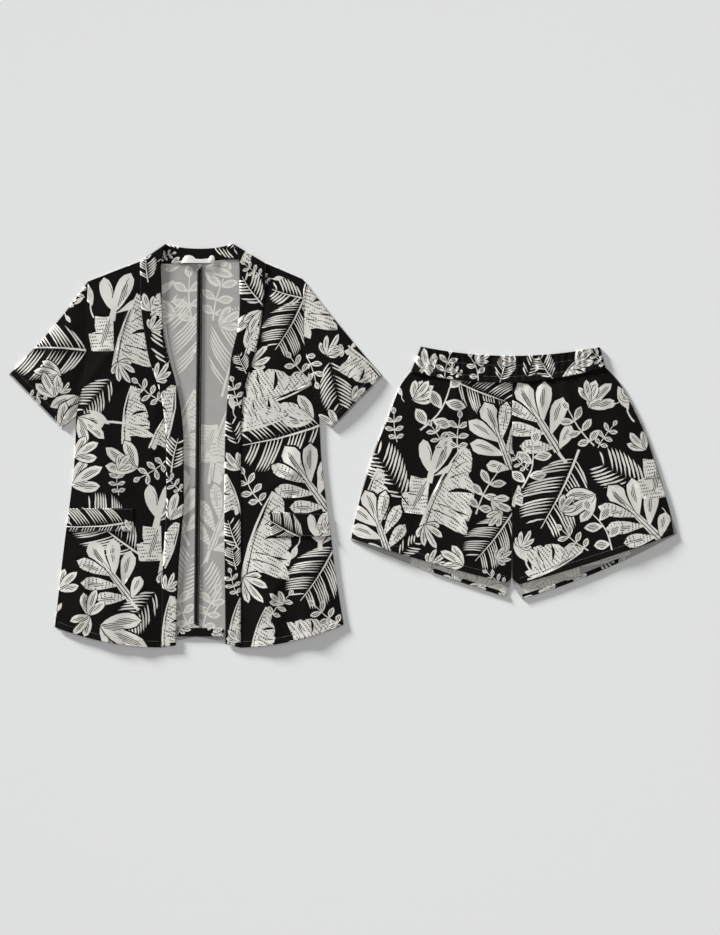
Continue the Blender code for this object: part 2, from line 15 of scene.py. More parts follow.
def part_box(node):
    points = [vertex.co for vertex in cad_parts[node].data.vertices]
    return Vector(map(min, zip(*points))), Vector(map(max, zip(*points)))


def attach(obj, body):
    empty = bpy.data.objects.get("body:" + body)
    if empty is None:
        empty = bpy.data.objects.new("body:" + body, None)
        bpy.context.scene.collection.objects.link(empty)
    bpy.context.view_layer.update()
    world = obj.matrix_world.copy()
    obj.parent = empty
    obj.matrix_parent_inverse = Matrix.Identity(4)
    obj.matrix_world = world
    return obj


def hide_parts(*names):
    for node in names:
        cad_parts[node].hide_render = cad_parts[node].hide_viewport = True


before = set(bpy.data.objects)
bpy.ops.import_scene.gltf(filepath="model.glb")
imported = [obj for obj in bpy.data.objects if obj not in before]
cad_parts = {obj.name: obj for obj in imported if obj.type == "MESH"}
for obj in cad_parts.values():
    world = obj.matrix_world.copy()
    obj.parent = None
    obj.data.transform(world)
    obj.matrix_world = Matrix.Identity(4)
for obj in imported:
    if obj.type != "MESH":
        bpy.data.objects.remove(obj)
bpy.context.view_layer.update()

# Camera: straight above the set, far off on a long lens, as for a catalogue picture of flat clothes.
# The view is 1.683 m tall, and its middle lies a little right of and below the middle of the set.
MM = 0.001
VIEW_HEIGHT = 1.683
VIEW_CENTRE = (0.0295, -0.0392)
CAMERA_HEIGHT = 6.0
SENSOR_HEIGHT = 24.0

camera = bpy.data.objects.new("camera", bpy.data.cameras.new("camera"))
camera.location = (*VIEW_CENTRE, CAMERA_HEIGHT)
camera.data.sensor_fit = "VERTICAL"
camera.data.sensor_height = SENSOR_HEIGHT
camera.data.lens = SENSOR_HEIGHT * CAMERA_HEIGHT / VIEW_HEIGHT
camera.data.dof.use_dof = False
bpy.context.scene.collection.objects.link(camera)
bpy.context.scene.camera = camera


# Shirt backs: two thin woven pieces, printed side down, joined by the centre back seam. Between the
# bands of the open front their wrong side shows, grey, with the leaves of the print coming through pale.
# This section also holds the cloth: how a piece is cut, printed, laid on its solid and finished.
PLY = 0.7 * MM
GRID = 5.0 * MM
STRIP_GRID = 3.0 * MM
EDGE_RINGS = (0.5 * MM, 1.3 * MM, 2.6 * MM)
CORNER_TURN = math.radians(28)
SHORTEST_SPAN = 0.2 * MM
SIDE_LIMIT = 40.0
UP_FACE = 0.02
ABOVE = 0.05
FIELD_STEP = 4.0 * MM
FIELD_SOFTNESS = 5.0 * MM

BLACK, PLAIN, DASHED, LINED, STIPPLED = range(5)

# A leaf of the print: its kind, its foot in mm, its turn from +Y in degrees, its length in mm, and a
# side of -1 where it is flipped. A crease: its two ends, its half width and its height, all in mm.
Motif = namedtuple("Motif", "kind x y turn size side", defaults=(1,))
Crease = namedtuple("Crease", "x0 y0 x1 y1 width height")


def merged_solid(node):
    """A CAD node's solid in a mesh of its own, with its loose triangles joined."""
    solid = bmesh.new()
    solid.from_mesh(bpy.data.objects[node].data)
    bmesh.ops.remove_doubles(solid, verts=solid.verts, dist=1e-6)
    return solid


def plan_outline(solid):
    """Outline of the faces that look up, seen from above and anticlockwise: the largest loop."""
    up = [face for face in solid.faces if face.normal.z > UP_FACE]
    looks_up = set(up)
    follows = {}
    for face in up:
        for loop in face.loops:
            if sum(other in looks_up for other in loop.edge.link_faces) == 1:
                follows[loop.vert] = loop.link_loop_next.vert
    loops = []
    while follows:
        vert, after = follows.popitem()
        points = [vert.co.xy]
        while after in follows:
            points.append(after.co.xy)
            after = follows.pop(after)
        loops.append(points)
    return max(loops, key=plan_area)


def plan_area(points):
    """Area inside a plan outline, positive where it runs anticlockwise."""
    return 0.5 * sum(a.cross(b) for a, b in zip(points, points[1:] + points[:1]))


def turn_at(before, point, after):
    """Angle by which an outline turns at a point."""
    return abs((point - before).angle_signed(after - point, 0.0))


def smoothed_outline(points, spacing, corner_turn=CORNER_TURN):
    """Outline through the same points, rounded between its corners, with a point at every spacing."""
    points = [p for i, p in enumerate(points) if (p - points[i - 1]).length > SHORTEST_SPAN]
    count = len(points)
    corner = [turn_at(points[i - 1], points[i], points[(i + 1) % count]) > corner_turn
              for i in range(count)]
    result = []
    for i, start in enumerate(points):
        end = points[(i + 1) % count]
        span = end - start
        before = start - span if corner[i] else points[i - 1]
        after = end + span if corner[(i + 1) % count] else points[(i + 2) % count]
        slope_in = (end - before) * span.length / max((end - before).length, 1e-9)
        slope_out = (after - start) * span.length / max((after - start).length, 1e-9)
        steps = max(1, round(span.length / spacing))
        for step in range(steps):
            t = step / steps
            result.append(start * (2 * t ** 3 - 3 * t ** 2 + 1) + slope_in * (t ** 3 - 2 * t ** 2 + t)
                          + end * (3 * t ** 2 - 2 * t ** 3) + slope_out * (t ** 3 - t ** 2))
    return result


def side_facing(outline, direction, limit=SIDE_LIMIT):
    """Stretches of an outline, as point pairs, whose outer side looks along a direction, in degrees."""
    heading = Vector(direction).normalized()
    found = []
    for start, end in zip(outline, outline[1:] + outline[:1]):
        along = end - start
        outward = Vector((along.y, -along.x)).normalized()
        if outward.dot(heading) > math.cos(math.radians(limit)):
            found.append((start, end))
    return found


def distance_to(stretches, points):
    """Shortest plan distance from each point to a set of point pairs."""
    nearest = np.full(len(points), 1e3)
    for start, end in stretches:
        a = np.array(start)
        along = np.array(end) - a
        share = np.clip((points - a) @ along / max(along @ along, 1e-12), 0, 1)
        nearest = np.minimum(nearest, np.linalg.norm(points - a - share[:, None] * along, axis=1))
    return nearest


def crease_height(creases, points):
    """Height that the listed creases give at each plan point: soft ridges and troughs."""
    height = np.zeros(len(points))
    for row in creases:
        a = np.array((row.x0, row.y0)) * MM
        along = np.array((row.x1, row.y1)) * MM - a
        share = (points - a) @ along / (along @ along)
        across = points - a - share[:, None] * along
        fade = np.sin(np.pi * np.clip(share, 0, 1)) ** 0.7
        height += row.height * MM * fade * np.exp(-(across ** 2).sum(axis=1) / (row.width * MM) ** 2)
    return height


class Solid:
    """A CAD node read as the surface that cloth is laid on, its facets smoothed out on an even grid."""

    def __init__(self, node):
        self.mesh = merged_solid(node)
        self.tree = BVHTree.FromBMesh(self.mesh)
        self.outline = smoothed_outline(plan_outline(self.mesh), GRID)
        self.low = np.array(self.outline).min(axis=0) - FIELD_STEP
        high = np.array(self.outline).max(axis=0) + 2 * FIELD_STEP
        self.columns, self.rows = np.ceil((high - self.low) / FIELD_STEP).astype(int)
        reach = np.arange(-2, 3) * FIELD_STEP / FIELD_SOFTNESS
        weights = np.exp(-reach ** 2)
        self.blend = weights / weights.sum()

    def field(self, from_above):
        """Heights of the upper or lower face on the grid, each one blended with those round it."""
        start, heading = (ABOVE, -1) if from_above else (-ABOVE, 1)
        heights = np.zeros((self.columns, self.rows))
        for i in range(self.columns):
            for j in range(self.rows):
                spot = Vector((*(self.low + np.array((i, j)) * FIELD_STEP), start))
                hit = self.tree.ray_cast(spot, Vector((0, 0, heading)))[0]
                heights[i, j] = (hit or self.tree.find_nearest(spot)[0]).z
        for axis in (0, 1):
            padded = np.pad(heights, 2, mode="edge")
            size = heights.shape
            if axis:
                heights = sum(w * padded[2:-2, k:k + size[1]] for k, w in enumerate(self.blend))
            else:
                heights = sum(w * padded[k:k + size[0], 2:-2] for k, w in enumerate(self.blend))
        return heights

    def height(self, points, from_above=True):
        """Smoothed height of the solid's upper or lower face at each plan point."""
        heights = self.field(from_above)
        places = (points - self.low) / FIELD_STEP
        cell = np.clip(places.astype(int), 0, np.array(heights.shape) - 2)
        u, v = np.clip(places - cell, 0, 1).T
        i, j = cell.T
        return ((1 - u) * (1 - v) * heights[i, j] + u * (1 - v) * heights[i + 1, j]
                + (1 - u) * v * heights[i, j + 1] + u * v * heights[i + 1, j + 1])


def petal(start, end, width, bend=0.0, peak=0.5, blunt=1.0, steps=7):
    """Outline of one leaf from start to end, and the way it points. Peak is where it is widest."""
    start, end = Vector(start), Vector(end)
    along = end - start
    side = Vector((-along.y, along.x))
    control = (start + end) / 2 + side * bend
    power = math.log(0.5) / math.log(peak)
    left, right = [], []
    for step in range(steps + 1):
        t = step / steps
        spot = start * (1 - t) ** 2 + control * 2 * t * (1 - t) + end * t ** 2
        across = side.normalized() * width / 2 * math.sin(math.pi * t ** power) ** blunt
        left.append(spot + across)
        right.append(spot - across)
    return left[1:-1] + [end] + right[-2:0:-1] + [start], along.normalized()


def ribbon(points, width, tip=0.3):
    """Outline of a stem or vein along a few points, narrowing to its tip, and the way it points."""
    points = [Vector(p) for p in points]
    left, right = [], []
    for i, spot in enumerate(points):
        ahead = (points[min(i + 1, len(points) - 1)] - points[max(i - 1, 0)]).normalized()
        half = width / 2 * (1 + (tip - 1) * i / (len(points) - 1))
        across = Vector((-ahead.y, ahead.x)) * half
        left.append(spot + across)
        right.append(spot - across)
    return left + right[::-1], (points[-1] - points[0]).normalized()


def arc(start, end, bend, steps=5):
    """Points from start to end on a line bowed to its left by a share of its length."""
    start, end = Vector(start), Vector(end)
    side = Vector((start.y - end.y, end.x - start.x))
    return [start.lerp(end, i / steps) + side * bend * math.sin(math.pi * i / steps)
            for i in range(steps + 1)]


def half_leaf():
    """One half of a broad split leaf on its midrib: rows of dashes, dark slits, a notched edge."""
    edge = [(-0.03, 0.0), (-0.04, 0.35), (-0.01, 0.7), (0.0, 1.0), (0.09, 1.0), (0.16, 0.93),
            (0.21, 0.8), (0.2, 0.74), (0.29, 0.69), (0.35, 0.6), (0.39, 0.5), (0.37, 0.44),
            (0.43, 0.4), (0.44, 0.28), (0.4, 0.27), (0.47, 0.21), (0.49, 0.13), (0.36, 0.11),
            (0.2, 0.12), (0.06, 0.08)]
    layers = [(DASHED, [Vector(p) for p in edge], Vector((0.25, 1))),
              (PLAIN, *petal((0.02, 0.12), (0.13, -0.04), 0.13)),
              (BLACK, *petal((0.08, 0.46), (0.36, 0.58), 0.05, bend=0.22)),
              (BLACK, *petal((0.2, 0.32), (0.42, 0.34), 0.022, bend=-0.06))]
    for foot, tip, x in ((0.3, 0.3, 0.36), (0.22, 0.2, 0.4), (0.62, 0.76, 0.18), (0.74, 0.88, 0.13)):
        layers.append((BLACK, *ribbon(arc((0.04, foot), (x, tip), 0.06), 0.013)))
    layers += [(BLACK, *ribbon(arc((0.035, 0.0), (0.03, 0.96), 0.05), 0.013)),
               (PLAIN, *ribbon(arc((0.0, -0.06), (0.0, 1.0), 0.05), 0.035, 0.5))]
    return layers


def block():
    """The squarish other half of a split leaf, in two steps, with rows of dashes."""
    edge = [(-0.33, 0.0), (0.32, -0.02), (0.34, 0.98), (0.1, 0.95), (-0.17, 1.0), (-0.2, 0.72),
            (-0.16, 0.55), (-0.38, 0.5), (-0.36, 0.3)]
    return [(DASHED, [Vector(p) for p in edge], Vector((0, 1))),
            (BLACK, *ribbon([(-0.2, 0.5), (0.3, 0.48)], 0.03)),
            (LINED, *petal((-0.05, 0.1), (0.25, 0.9), 0.16))]


def sprout():
    """Three long rounded petals on a short stem."""
    return [(PLAIN, *ribbon([(-0.02, -0.06), (0.0, 0.2), (0.02, 0.34)], 0.14, 0.8)),
            (PLAIN, *petal((0.0, 0.14), (-0.3, 0.84), 0.27, bend=0.08, peak=0.62, blunt=0.45, steps=9)),
            (PLAIN, *petal((0.02, 0.12), (0.27, 1.0), 0.34, bend=0.05, peak=0.62, blunt=0.45, steps=9)),
            (PLAIN, *petal((0.04, 0.1), (0.62, 0.54), 0.16, bend=-0.05, peak=0.6)),
            (BLACK, *ribbon(arc((-0.06, 0.42), (-0.2, 0.72), -0.1), 0.022)),
            (LINED, *petal((0.1, 0.3), (0.2, 0.84), 0.12, bend=-0.1)),
            (BLACK, *ribbon(arc((0.08, 0.26), (0.24, 0.9), 0.04), 0.02))]


def oak():
    """A lobed leaf with a double midrib on a bare stem."""
    lobes = [(0.42, 0.02, 1.0, 0.24), (0.42, -0.27, 0.9, 0.17), (0.4, 0.31, 0.84, 0.2),
             (0.26, -0.41, 0.62, 0.18), (0.22, 0.4, 0.55, 0.2), (0.06, -0.38, 0.32, 0.18),
             (0.02, 0.3, 0.2, 0.16)]
    layers = [(PLAIN, *ribbon(arc((0.0, -0.16), (0.0, 0.3), 0.04), 0.04, 1.0)),
              (PLAIN, *ribbon([(0.0, 0.02), (0.0, 0.4), (0.0, 0.75)], 0.11, 0.5))]
    for base, x, y, width in lobes:
        rim = petal((0, base), (x * 1.05, y + 0.02), width + 0.06, peak=0.7, blunt=0.5)
        lobe = petal((0, base), (x, y), width, peak=0.7, blunt=0.5)
        start = (x * 0.35, base + (y - base) * 0.35)
        end = (x * 0.88, base + (y - base) * 0.88)
        middle = petal(start, end, width * 0.3, bend=0.1)
        layers += [(BLACK, *rim), (DASHED if x < 0 else PLAIN, *lobe), (LINED, *middle)]
    for shift in (-0.022, 0.022):
        layers.append((BLACK, *ribbon([(shift, 0.0), (shift, 0.5), (shift * 0.5, 0.86)], 0.013)))
    return layers


def leafy_rib(pairs, reach, rise, cover, bunch, rib_width, rib_ink):
    """A leaf made of slim leaflets along a rib, longest in the middle, with a gap after each bunch.

    Cover is the share of the leaf that the leaflets fill, the rest being the dark gaps between them.
    """
    length = 0.86
    spacing = length / pairs / math.hypot(1, rise)
    layers = []
    for side in (-1, 1):
        for pair in range(pairs):
            share = (pair + 0.5) / pairs
            size = reach * math.sin(math.pi * (0.12 + 0.8 * share ** 0.8)) ** 0.6
            in_bunch = (pair + 2 * side) % bunch
            if in_bunch == 0:
                continue
            foot = (0, 0.02 + length * share)
            tip = (side * size * (0.88 + 0.12 * in_bunch / bunch), foot[1] + rise * size)
            layers.append((PLAIN, *petal(foot, tip, cover * spacing, bend=-0.08 * side, peak=0.62,
                                         blunt=0.35, steps=5)))
    layers.append((rib_ink, *ribbon(arc((0, -0.08), (0, 0.98), 0.03), rib_width)))
    return layers


def palm():
    """A broad palm leaf, its many leaflets close together on a pale rib."""
    return leafy_rib(18, 0.43, 0.72, 0.57, 6, 0.03, PLAIN)


def young_palm():
    """A small palm leaf, with fewer leaflets."""
    return leafy_rib(8, 0.45, 0.72, 0.6, 8, 0.05, PLAIN)


def fern():
    """A fern frond: slim white leaflets well apart on a dark rib."""
    return leafy_rib(11, 0.34, 0.9, 0.54, 11, 0.02, BLACK)


def young_fern():
    """A small fern frond, with fewer leaflets."""
    return leafy_rib(6, 0.4, 0.9, 0.52, 6, 0.04, BLACK)


def leaf_spray(places, width, stem_bend, blunt):
    """A bowed stem with oval leaves, each hatched inside a white rim."""
    stem = arc((0, 0), (0, 0.92), stem_bend, 7)
    layers = [(PLAIN, *ribbon(stem, 0.035, 0.6))]
    for share, x, y in places:
        foot = stem[round(share * 7)]
        tip = foot + Vector((x, y))
        middle = petal(foot.lerp(tip, 0.2), foot.lerp(tip, 0.86), width * 0.62, blunt=blunt)
        layers += [(PLAIN, *petal(foot, tip, width, peak=0.55, blunt=blunt)), (LINED, *middle)]
    return layers


def sprig():
    """A small stem with seven oval leaves."""
    return leaf_spray([(1, 0.0, 0.24), (0.72, 0.3, 0.18), (0.72, -0.28, 0.2), (0.43, 0.32, 0.1),
                       (0.43, -0.32, 0.12), (0.14, 0.27, 0.1), (0.14, -0.25, 0.1)], 0.16, 0.05, 0.8)


def branch():
    """A bowed stem with wide oval leaves."""
    return leaf_spray([(1, 0.04, 0.28), (0.72, 0.36, 0.14), (0.57, -0.36, 0.16), (0.28, 0.34, 0.12),
                       (0.14, -0.32, 0.14)], 0.2, -0.1, 0.8)


def fan(tips, width, peak):
    """Petals spread from one foot, each with a dark rim where it lies on the last, and fine lines."""
    layers = []
    for x, y in tips:
        bow = 0.08 * (1 if x < 0 else -1)
        rim = petal((0, 0.0), (x * 1.03, y * 1.03), width + 0.07, bend=bow, peak=peak, blunt=0.5)
        face = petal((0, 0.02), (x, y), width, bend=bow, peak=peak, blunt=0.5)
        lines = petal((x * 0.3, y * 0.3), (x * 0.9, y * 0.9), width * 0.45, bend=bow)
        layers += [(BLACK, *rim), (PLAIN, *face), (LINED, *lines)]
    return layers


def bud():
    """A small flower of five short petals."""
    return fan([(-0.46, 0.34), (0.46, 0.3), (-0.36, 0.74), (0.38, 0.72), (0.02, 1.0)], 0.22, 0.62)


def petals():
    """Three broad petals in a fan, with a small lined one in front."""
    return fan([(-0.42, 0.74), (0.4, 0.7), (-0.02, 1.0)], 0.3, 0.6) + [
        (LINED, *petal((0.0, 0.0), (0.14, 0.5), 0.14))]


def blade():
    """A slim stippled leaf on a thin bowed stem."""
    return [(PLAIN, *ribbon(arc((0.0, 0.0), (0.0, 0.5), 0.1), 0.045, 0.8)),
            (PLAIN, *petal((0, 0.34), (0, 1.0), 0.26, bend=0.06)),
            (STIPPLED, *petal((0, 0.4), (0, 0.95), 0.19, bend=0.06))]


def stem():
    """A long bowed stem with one slim leaf at its end."""
    return [(PLAIN, *ribbon(arc((0, 0), (0, 0.8), 0.12, 7), 0.035, 0.7)),
            (PLAIN, *petal((0, 0.72), (-0.06, 1.02), 0.1)),
            (PLAIN, *petal((0.02, 0.78), (0.14, 0.9), 0.08))]


KINDS = {draw.__name__: draw() for draw in (half_leaf, block, sprout, oak, palm, young_palm, fern,
                                           young_fern, sprig, branch, bud, petals, blade, stem)}


PRINT_WAVE = 9 * MM
PRINT_ROUGHNESS = 0.9 * MM
PRINT_SEED = 5

# Unseeded, this noise starts from the clock and is another one at each run.
noise.seed_set(PRINT_SEED)


def roughened(spot):
    """A point of a leaf's edge moved a little, as a hand-cut printing block leaves it."""
    return spot + noise.noise_vector((spot / PRINT_WAVE).to_3d()).xy * PRINT_ROUGHNESS


def printed_shapes(motifs):
    """Every shape of a piece's leaves in metres: its ink, its outline and the way it points."""
    shapes = []
    for row in motifs:
        place = (Matrix.Translation((row.x * MM, row.y * MM, 0))
                 @ Matrix.Rotation(math.radians(row.turn), 4, "Z")
                 @ Matrix.Diagonal((row.size * MM * row.side, row.size * MM, 1, 1)))
        for ink, edge, along in KINDS[row.kind]:
            points = [roughened((place @ p.to_3d()).xy) for p in edge]
            if plan_area(points) < 0:
                points.reverse()
            heading = (place.to_3x3() @ along.to_3d()).xy.normalized()
            shapes.append((ink, points, heading))
    return shapes


def cut_cloth(outline, motifs, grid=GRID, rings=EDGE_RINGS):
    """A flat piece of cloth cut to its outline, with its leaves let into the mesh.

    The face value "ink" says which ink a face has. The map "print" gives centimetres in its leaf,
    across and along, for the finer hatching in the material.
    """
    corners = np.array(outline)
    low, high = corners.min(axis=0), corners.max(axis=0)
    points = list(outline)
    faces = [list(range(len(outline)))]
    for inset in rings:
        for i, spot in enumerate(outline):
            along = (outline[(i + 1) % len(outline)] - outline[i - 1]).normalized()
            points.append(spot + Vector((-along.y, along.x)) * inset)
    steps = np.ceil((high - low) / grid).astype(int)
    inner = [(low[0] + (i + 0.5 * (j % 2)) * grid, low[1] + j * grid)
             for j in range(steps[1] + 1) for i in range(steps[0] + 1)]
    clear = distance_to(list(zip(outline, outline[1:] + outline[:1])), np.array(inner))
    points += [Vector(p) for p, gap in zip(inner, clear) if gap > rings[-1] + grid * 0.35]
    shapes = printed_shapes(motifs)
    for _, edge, _ in shapes:
        faces.append(list(range(len(points), len(points) + len(edge))))
        points += edge
    bare = (BLACK, [Vector((0, 0))], Vector((0, 1)))
    spots, _, triangles, _, _, covers = delaunay_2d_cdt(points, [], faces, 0, 1e-6, True)
    cloth = bmesh.new()
    ink_layer = cloth.faces.layers.float.new("ink")
    print_map = cloth.loops.layers.uv.new("print")
    verts = [cloth.verts.new((*spot, 0)) for spot in spots]
    for triangle, cover in zip(triangles, covers):
        if 0 not in cover:
            continue
        face = cloth.faces.new([verts[i] for i in triangle])
        ink, edge, along = shapes[max(cover) - 1] if max(cover) else bare
        face[ink_layer] = ink
        face.smooth = True
        for loop in face.loops:
            offset = (loop.vert.co.xy - edge[0]) / (10 * MM)
            loop[print_map].uv = (offset.x * along.y - offset.y * along.x, offset.dot(along))
    bmesh.ops.delete(cloth, geom=[v for v in cloth.verts if not v.link_faces], context="VERTS")
    return cloth


def plan_points(cloth):
    """Plan places of a cloth's points, one row each."""
    return np.array([vert.co.xy for vert in cloth.verts])


def set_heights(cloth, heights):
    """Lays each point of a cloth at its height."""
    for vert, height in zip(cloth.verts, heights):
        vert.co.z = height


SURFACES = {}


def finish_cloth(cloth, node, slot="printed_cloth", ply=PLY):
    """Makes the piece's object: a thin shell whose outer side is the mesh, on its node's place."""
    SURFACES[node] = BVHTree.FromBMesh(cloth)
    mesh = bpy.data.meshes.new(node + "_cloth")
    cloth.to_mesh(mesh)
    cloth.free()
    piece = bpy.data.objects.new(node + "_cloth", mesh)
    bpy.context.scene.collection.objects.link(piece)
    for material in LOOKS[slot]:
        mesh.materials.append(material)
    shell = piece.modifiers.new("ply", "SOLIDIFY")
    shell.thickness = ply
    shell.offset = -1
    shell.material_offset = 1
    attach(piece, "root")
    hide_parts(node)
    return piece


def add_node(tree, kind, inputs=None, **settings):
    """A shader node with its settings, and its inputs given as values or as other nodes' outputs."""
    node = tree.nodes.new(kind)
    for name, value in settings.items():
        setattr(node, name, value)
    for name, value in (inputs or {}).items():
        if isinstance(value, bpy.types.NodeSocket):
            tree.links.new(value, node.inputs[name])
        else:
            node.inputs[name].default_value = value
    return node


def maths(tree, operation, *values):
    """One sum on values or sockets, as the socket that holds its result."""
    inputs = dict(enumerate(values))
    return add_node(tree, "ShaderNodeMath", inputs, operation=operation).outputs[0]


def new_group(name, inputs, outputs):
    """An empty node group with named sockets, and its input and output nodes."""
    group = bpy.data.node_groups.new(name, "ShaderNodeTree")
    for socket, kind, value in inputs:
        group.interface.new_socket(socket, in_out="INPUT", socket_type=kind).default_value = value
    for socket, kind in outputs:
        group.interface.new_socket(socket, in_out="OUTPUT", socket_type=kind)
    return group, group.nodes.new("NodeGroupInput"), group.nodes.new("NodeGroupOutput")


# Hatching of the leaves, in centimetres of the print map. A depth, length or width is a share of the
# pitch that it goes with.
DASH_ROW = 0.62
DASH_DEPTH = 0.3
DASH_PITCH = 0.42
DASH_LENGTH = 0.62
LINE_PITCH = 0.3
LINE_WIDTH = 0.48
SPECKS_PER_CM = 6.0
SPECK_SIZE = 0.3


def leaf_ink_group():
    """Mask of the print's ink: leaves from the face value, their hatching from the leaf's own map."""
    group, _, result = new_group("leaf_ink", [], [("Ink", "NodeSocketFloat")])
    ink = add_node(group, "ShaderNodeAttribute", attribute_name="ink").outputs["Fac"]
    place = add_node(group, "ShaderNodeUVMap", uv_map="print").outputs["UV"]
    split = add_node(group, "ShaderNodeSeparateXYZ", {"Vector": place})
    across, along = split.outputs["X"], split.outputs["Y"]
    wobble = add_node(group, "ShaderNodeTexNoise", {"Vector": place, "Scale": 0.35, "Detail": 2.0})
    shift = maths(group, "MULTIPLY_ADD", wobble.outputs["Fac"], 0.9, -0.45)
    row = maths(group, "DIVIDE", maths(group, "ADD", along, shift), DASH_ROW)
    in_row = maths(group, "LESS_THAN", maths(group, "FRACT", row), DASH_DEPTH)
    slide = maths(group, "MULTIPLY", maths(group, "FLOOR", row), 0.37)
    dash = maths(group, "ADD", maths(group, "DIVIDE", across, DASH_PITCH), slide)
    in_dash = maths(group, "LESS_THAN", maths(group, "FRACT", dash), DASH_LENGTH)
    patchy = add_node(group, "ShaderNodeTexNoise", {"Vector": place, "Scale": 0.6, "Detail": 1.0})
    present = maths(group, "GREATER_THAN", patchy.outputs["Fac"], 0.44)
    dashes = maths(group, "MULTIPLY", maths(group, "MULTIPLY", in_row, in_dash), present)
    waver = maths(group, "ADD", across, maths(group, "MULTIPLY", shift, 0.4))
    line = maths(group, "DIVIDE", waver, LINE_PITCH)
    lines = maths(group, "LESS_THAN", maths(group, "FRACT", line), LINE_WIDTH)
    dots = add_node(group, "ShaderNodeTexVoronoi", {"Vector": place, "Scale": SPECKS_PER_CM})
    specks = maths(group, "LESS_THAN", dots.outputs["Distance"], SPECK_SIZE)
    dark = 0.0
    for pattern, kind in ((dashes, DASHED), (lines, LINED), (specks, STIPPLED)):
        is_kind = maths(group, "COMPARE", ink, float(kind), 0.5)
        dark = maths(group, "ADD", dark, maths(group, "MULTIPLY", pattern, is_kind))
    inked = maths(group, "GREATER_THAN", ink, 0.5)
    mask = maths(group, "MULTIPLY", inked, maths(group, "SUBTRACT", 1.0, dark))
    group.links.new(mask, result.inputs["Ink"])
    return group


def plain_weave_group():
    """Plain weave: crossed threads as a height, and a soft uneven tone over the cloth."""
    group, given, result = new_group(
        "plain_weave",
        [("Threads per metre", "NodeSocketFloat", 1600.0), ("Slub", "NodeSocketFloat", 0.35)],
        [("Height", "NodeSocketFloat"), ("Tone", "NodeSocketFloat")])
    place = add_node(group, "ShaderNodeTexCoord").outputs["Object"]
    split = add_node(group, "ShaderNodeSeparateXYZ", {"Vector": place})
    turns = maths(group, "MULTIPLY", given.outputs["Threads per metre"], math.tau)
    warp = maths(group, "SINE", maths(group, "MULTIPLY", split.outputs["X"], turns))
    weft = maths(group, "SINE", maths(group, "MULTIPLY", split.outputs["Y"], turns))
    weave = maths(group, "MULTIPLY", warp, weft)
    slub = add_node(group, "ShaderNodeTexNoise", {"Vector": place, "Scale": 160.0, "Detail": 3.0})
    height = maths(group, "ADD", maths(group, "MULTIPLY", weave, 0.5),
                   maths(group, "MULTIPLY", slub.outputs["Fac"], given.outputs["Slub"]))
    group.links.new(height, result.inputs["Height"])
    cloud = add_node(group, "ShaderNodeTexNoise", {"Vector": place, "Scale": 45.0, "Detail": 4.0})
    tone = maths(group, "MULTIPLY_ADD", cloud.outputs["Fac"], 0.16, 0.92)
    group.links.new(tone, result.inputs["Tone"])
    return group


LEAF_INK = leaf_ink_group()
PLAIN_WEAVE = plain_weave_group()


def group_node(tree, group, **inputs):
    """A placed node group, with values for its sockets."""
    node = add_node(tree, "ShaderNodeGroup", node_tree=group)
    for name, value in inputs.items():
        node.inputs[name.replace("_", " ")].default_value = value
    return node


def toned(tree, colour, tone):
    """A colour made lighter and darker by a tone close to one."""
    grey = add_node(tree, "ShaderNodeCombineXYZ", {"X": tone, "Y": tone, "Z": tone}).outputs[0]
    return add_node(tree, "ShaderNodeMix", {"Factor": 1.0, "A": colour, "B": grey}, data_type="RGBA",
                    blend_type="MULTIPLY").outputs["Result"]


def mixed(tree, factor, first, second):
    """Socket of a colour that runs from the first to the second by a factor."""
    return add_node(tree, "ShaderNodeMix", {"Factor": factor, "A": first, "B": second},
                    data_type="RGBA").outputs["Result"]


def cloth_material(name, ground, ink, ground_rough, ink_rough, sheen):
    """Thin woven cloth: a dyed ground with leaves in another colour, matt, with a faint sheen."""
    material = bpy.data.materials.new(name)
    material.use_nodes = True
    tree = material.node_tree
    shader = tree.nodes["Principled BSDF"]
    shader.inputs["Sheen Weight"].default_value = sheen
    shader.inputs["Sheen Roughness"].default_value = 0.5
    shader.inputs["Specular IOR Level"].default_value = 0.07
    mask = group_node(tree, LEAF_INK).outputs["Ink"]
    weave = group_node(tree, PLAIN_WEAVE)
    colour = mixed(tree, mask, (*ground, 1.0), (*ink, 1.0))
    tree.links.new(toned(tree, colour, weave.outputs["Tone"]), shader.inputs["Base Color"])
    rough = add_node(tree, "ShaderNodeMapRange",
                     {"Value": mask, "To Min": ground_rough, "To Max": ink_rough})
    tree.links.new(rough.outputs["Result"], shader.inputs["Roughness"])
    bump = add_node(tree, "ShaderNodeBump", {"Height": weave.outputs["Height"], "Distance": 0.00012,
                                             "Strength": 0.5})
    tree.links.new(bump.outputs["Normal"], shader.inputs["Normal"])
    return material


PRINTED = cloth_material("printed_cloth", (0.0046, 0.0041, 0.0036), (0.64, 0.62, 0.575),
                         0.85, 0.75, 0.004)
WRONG_SIDE = cloth_material("cloth_wrong_side", (0.36, 0.354, 0.34), (0.65, 0.628, 0.58),
                            0.85, 0.8, 0.02)

# The outer and the inner material that go with each slot.
LOOKS = {"printed_cloth": (PRINTED, WRONG_SIDE), "cloth_inside": (WRONG_SIDE, PRINTED),
         "seam_allowance": (PRINTED, WRONG_SIDE)}

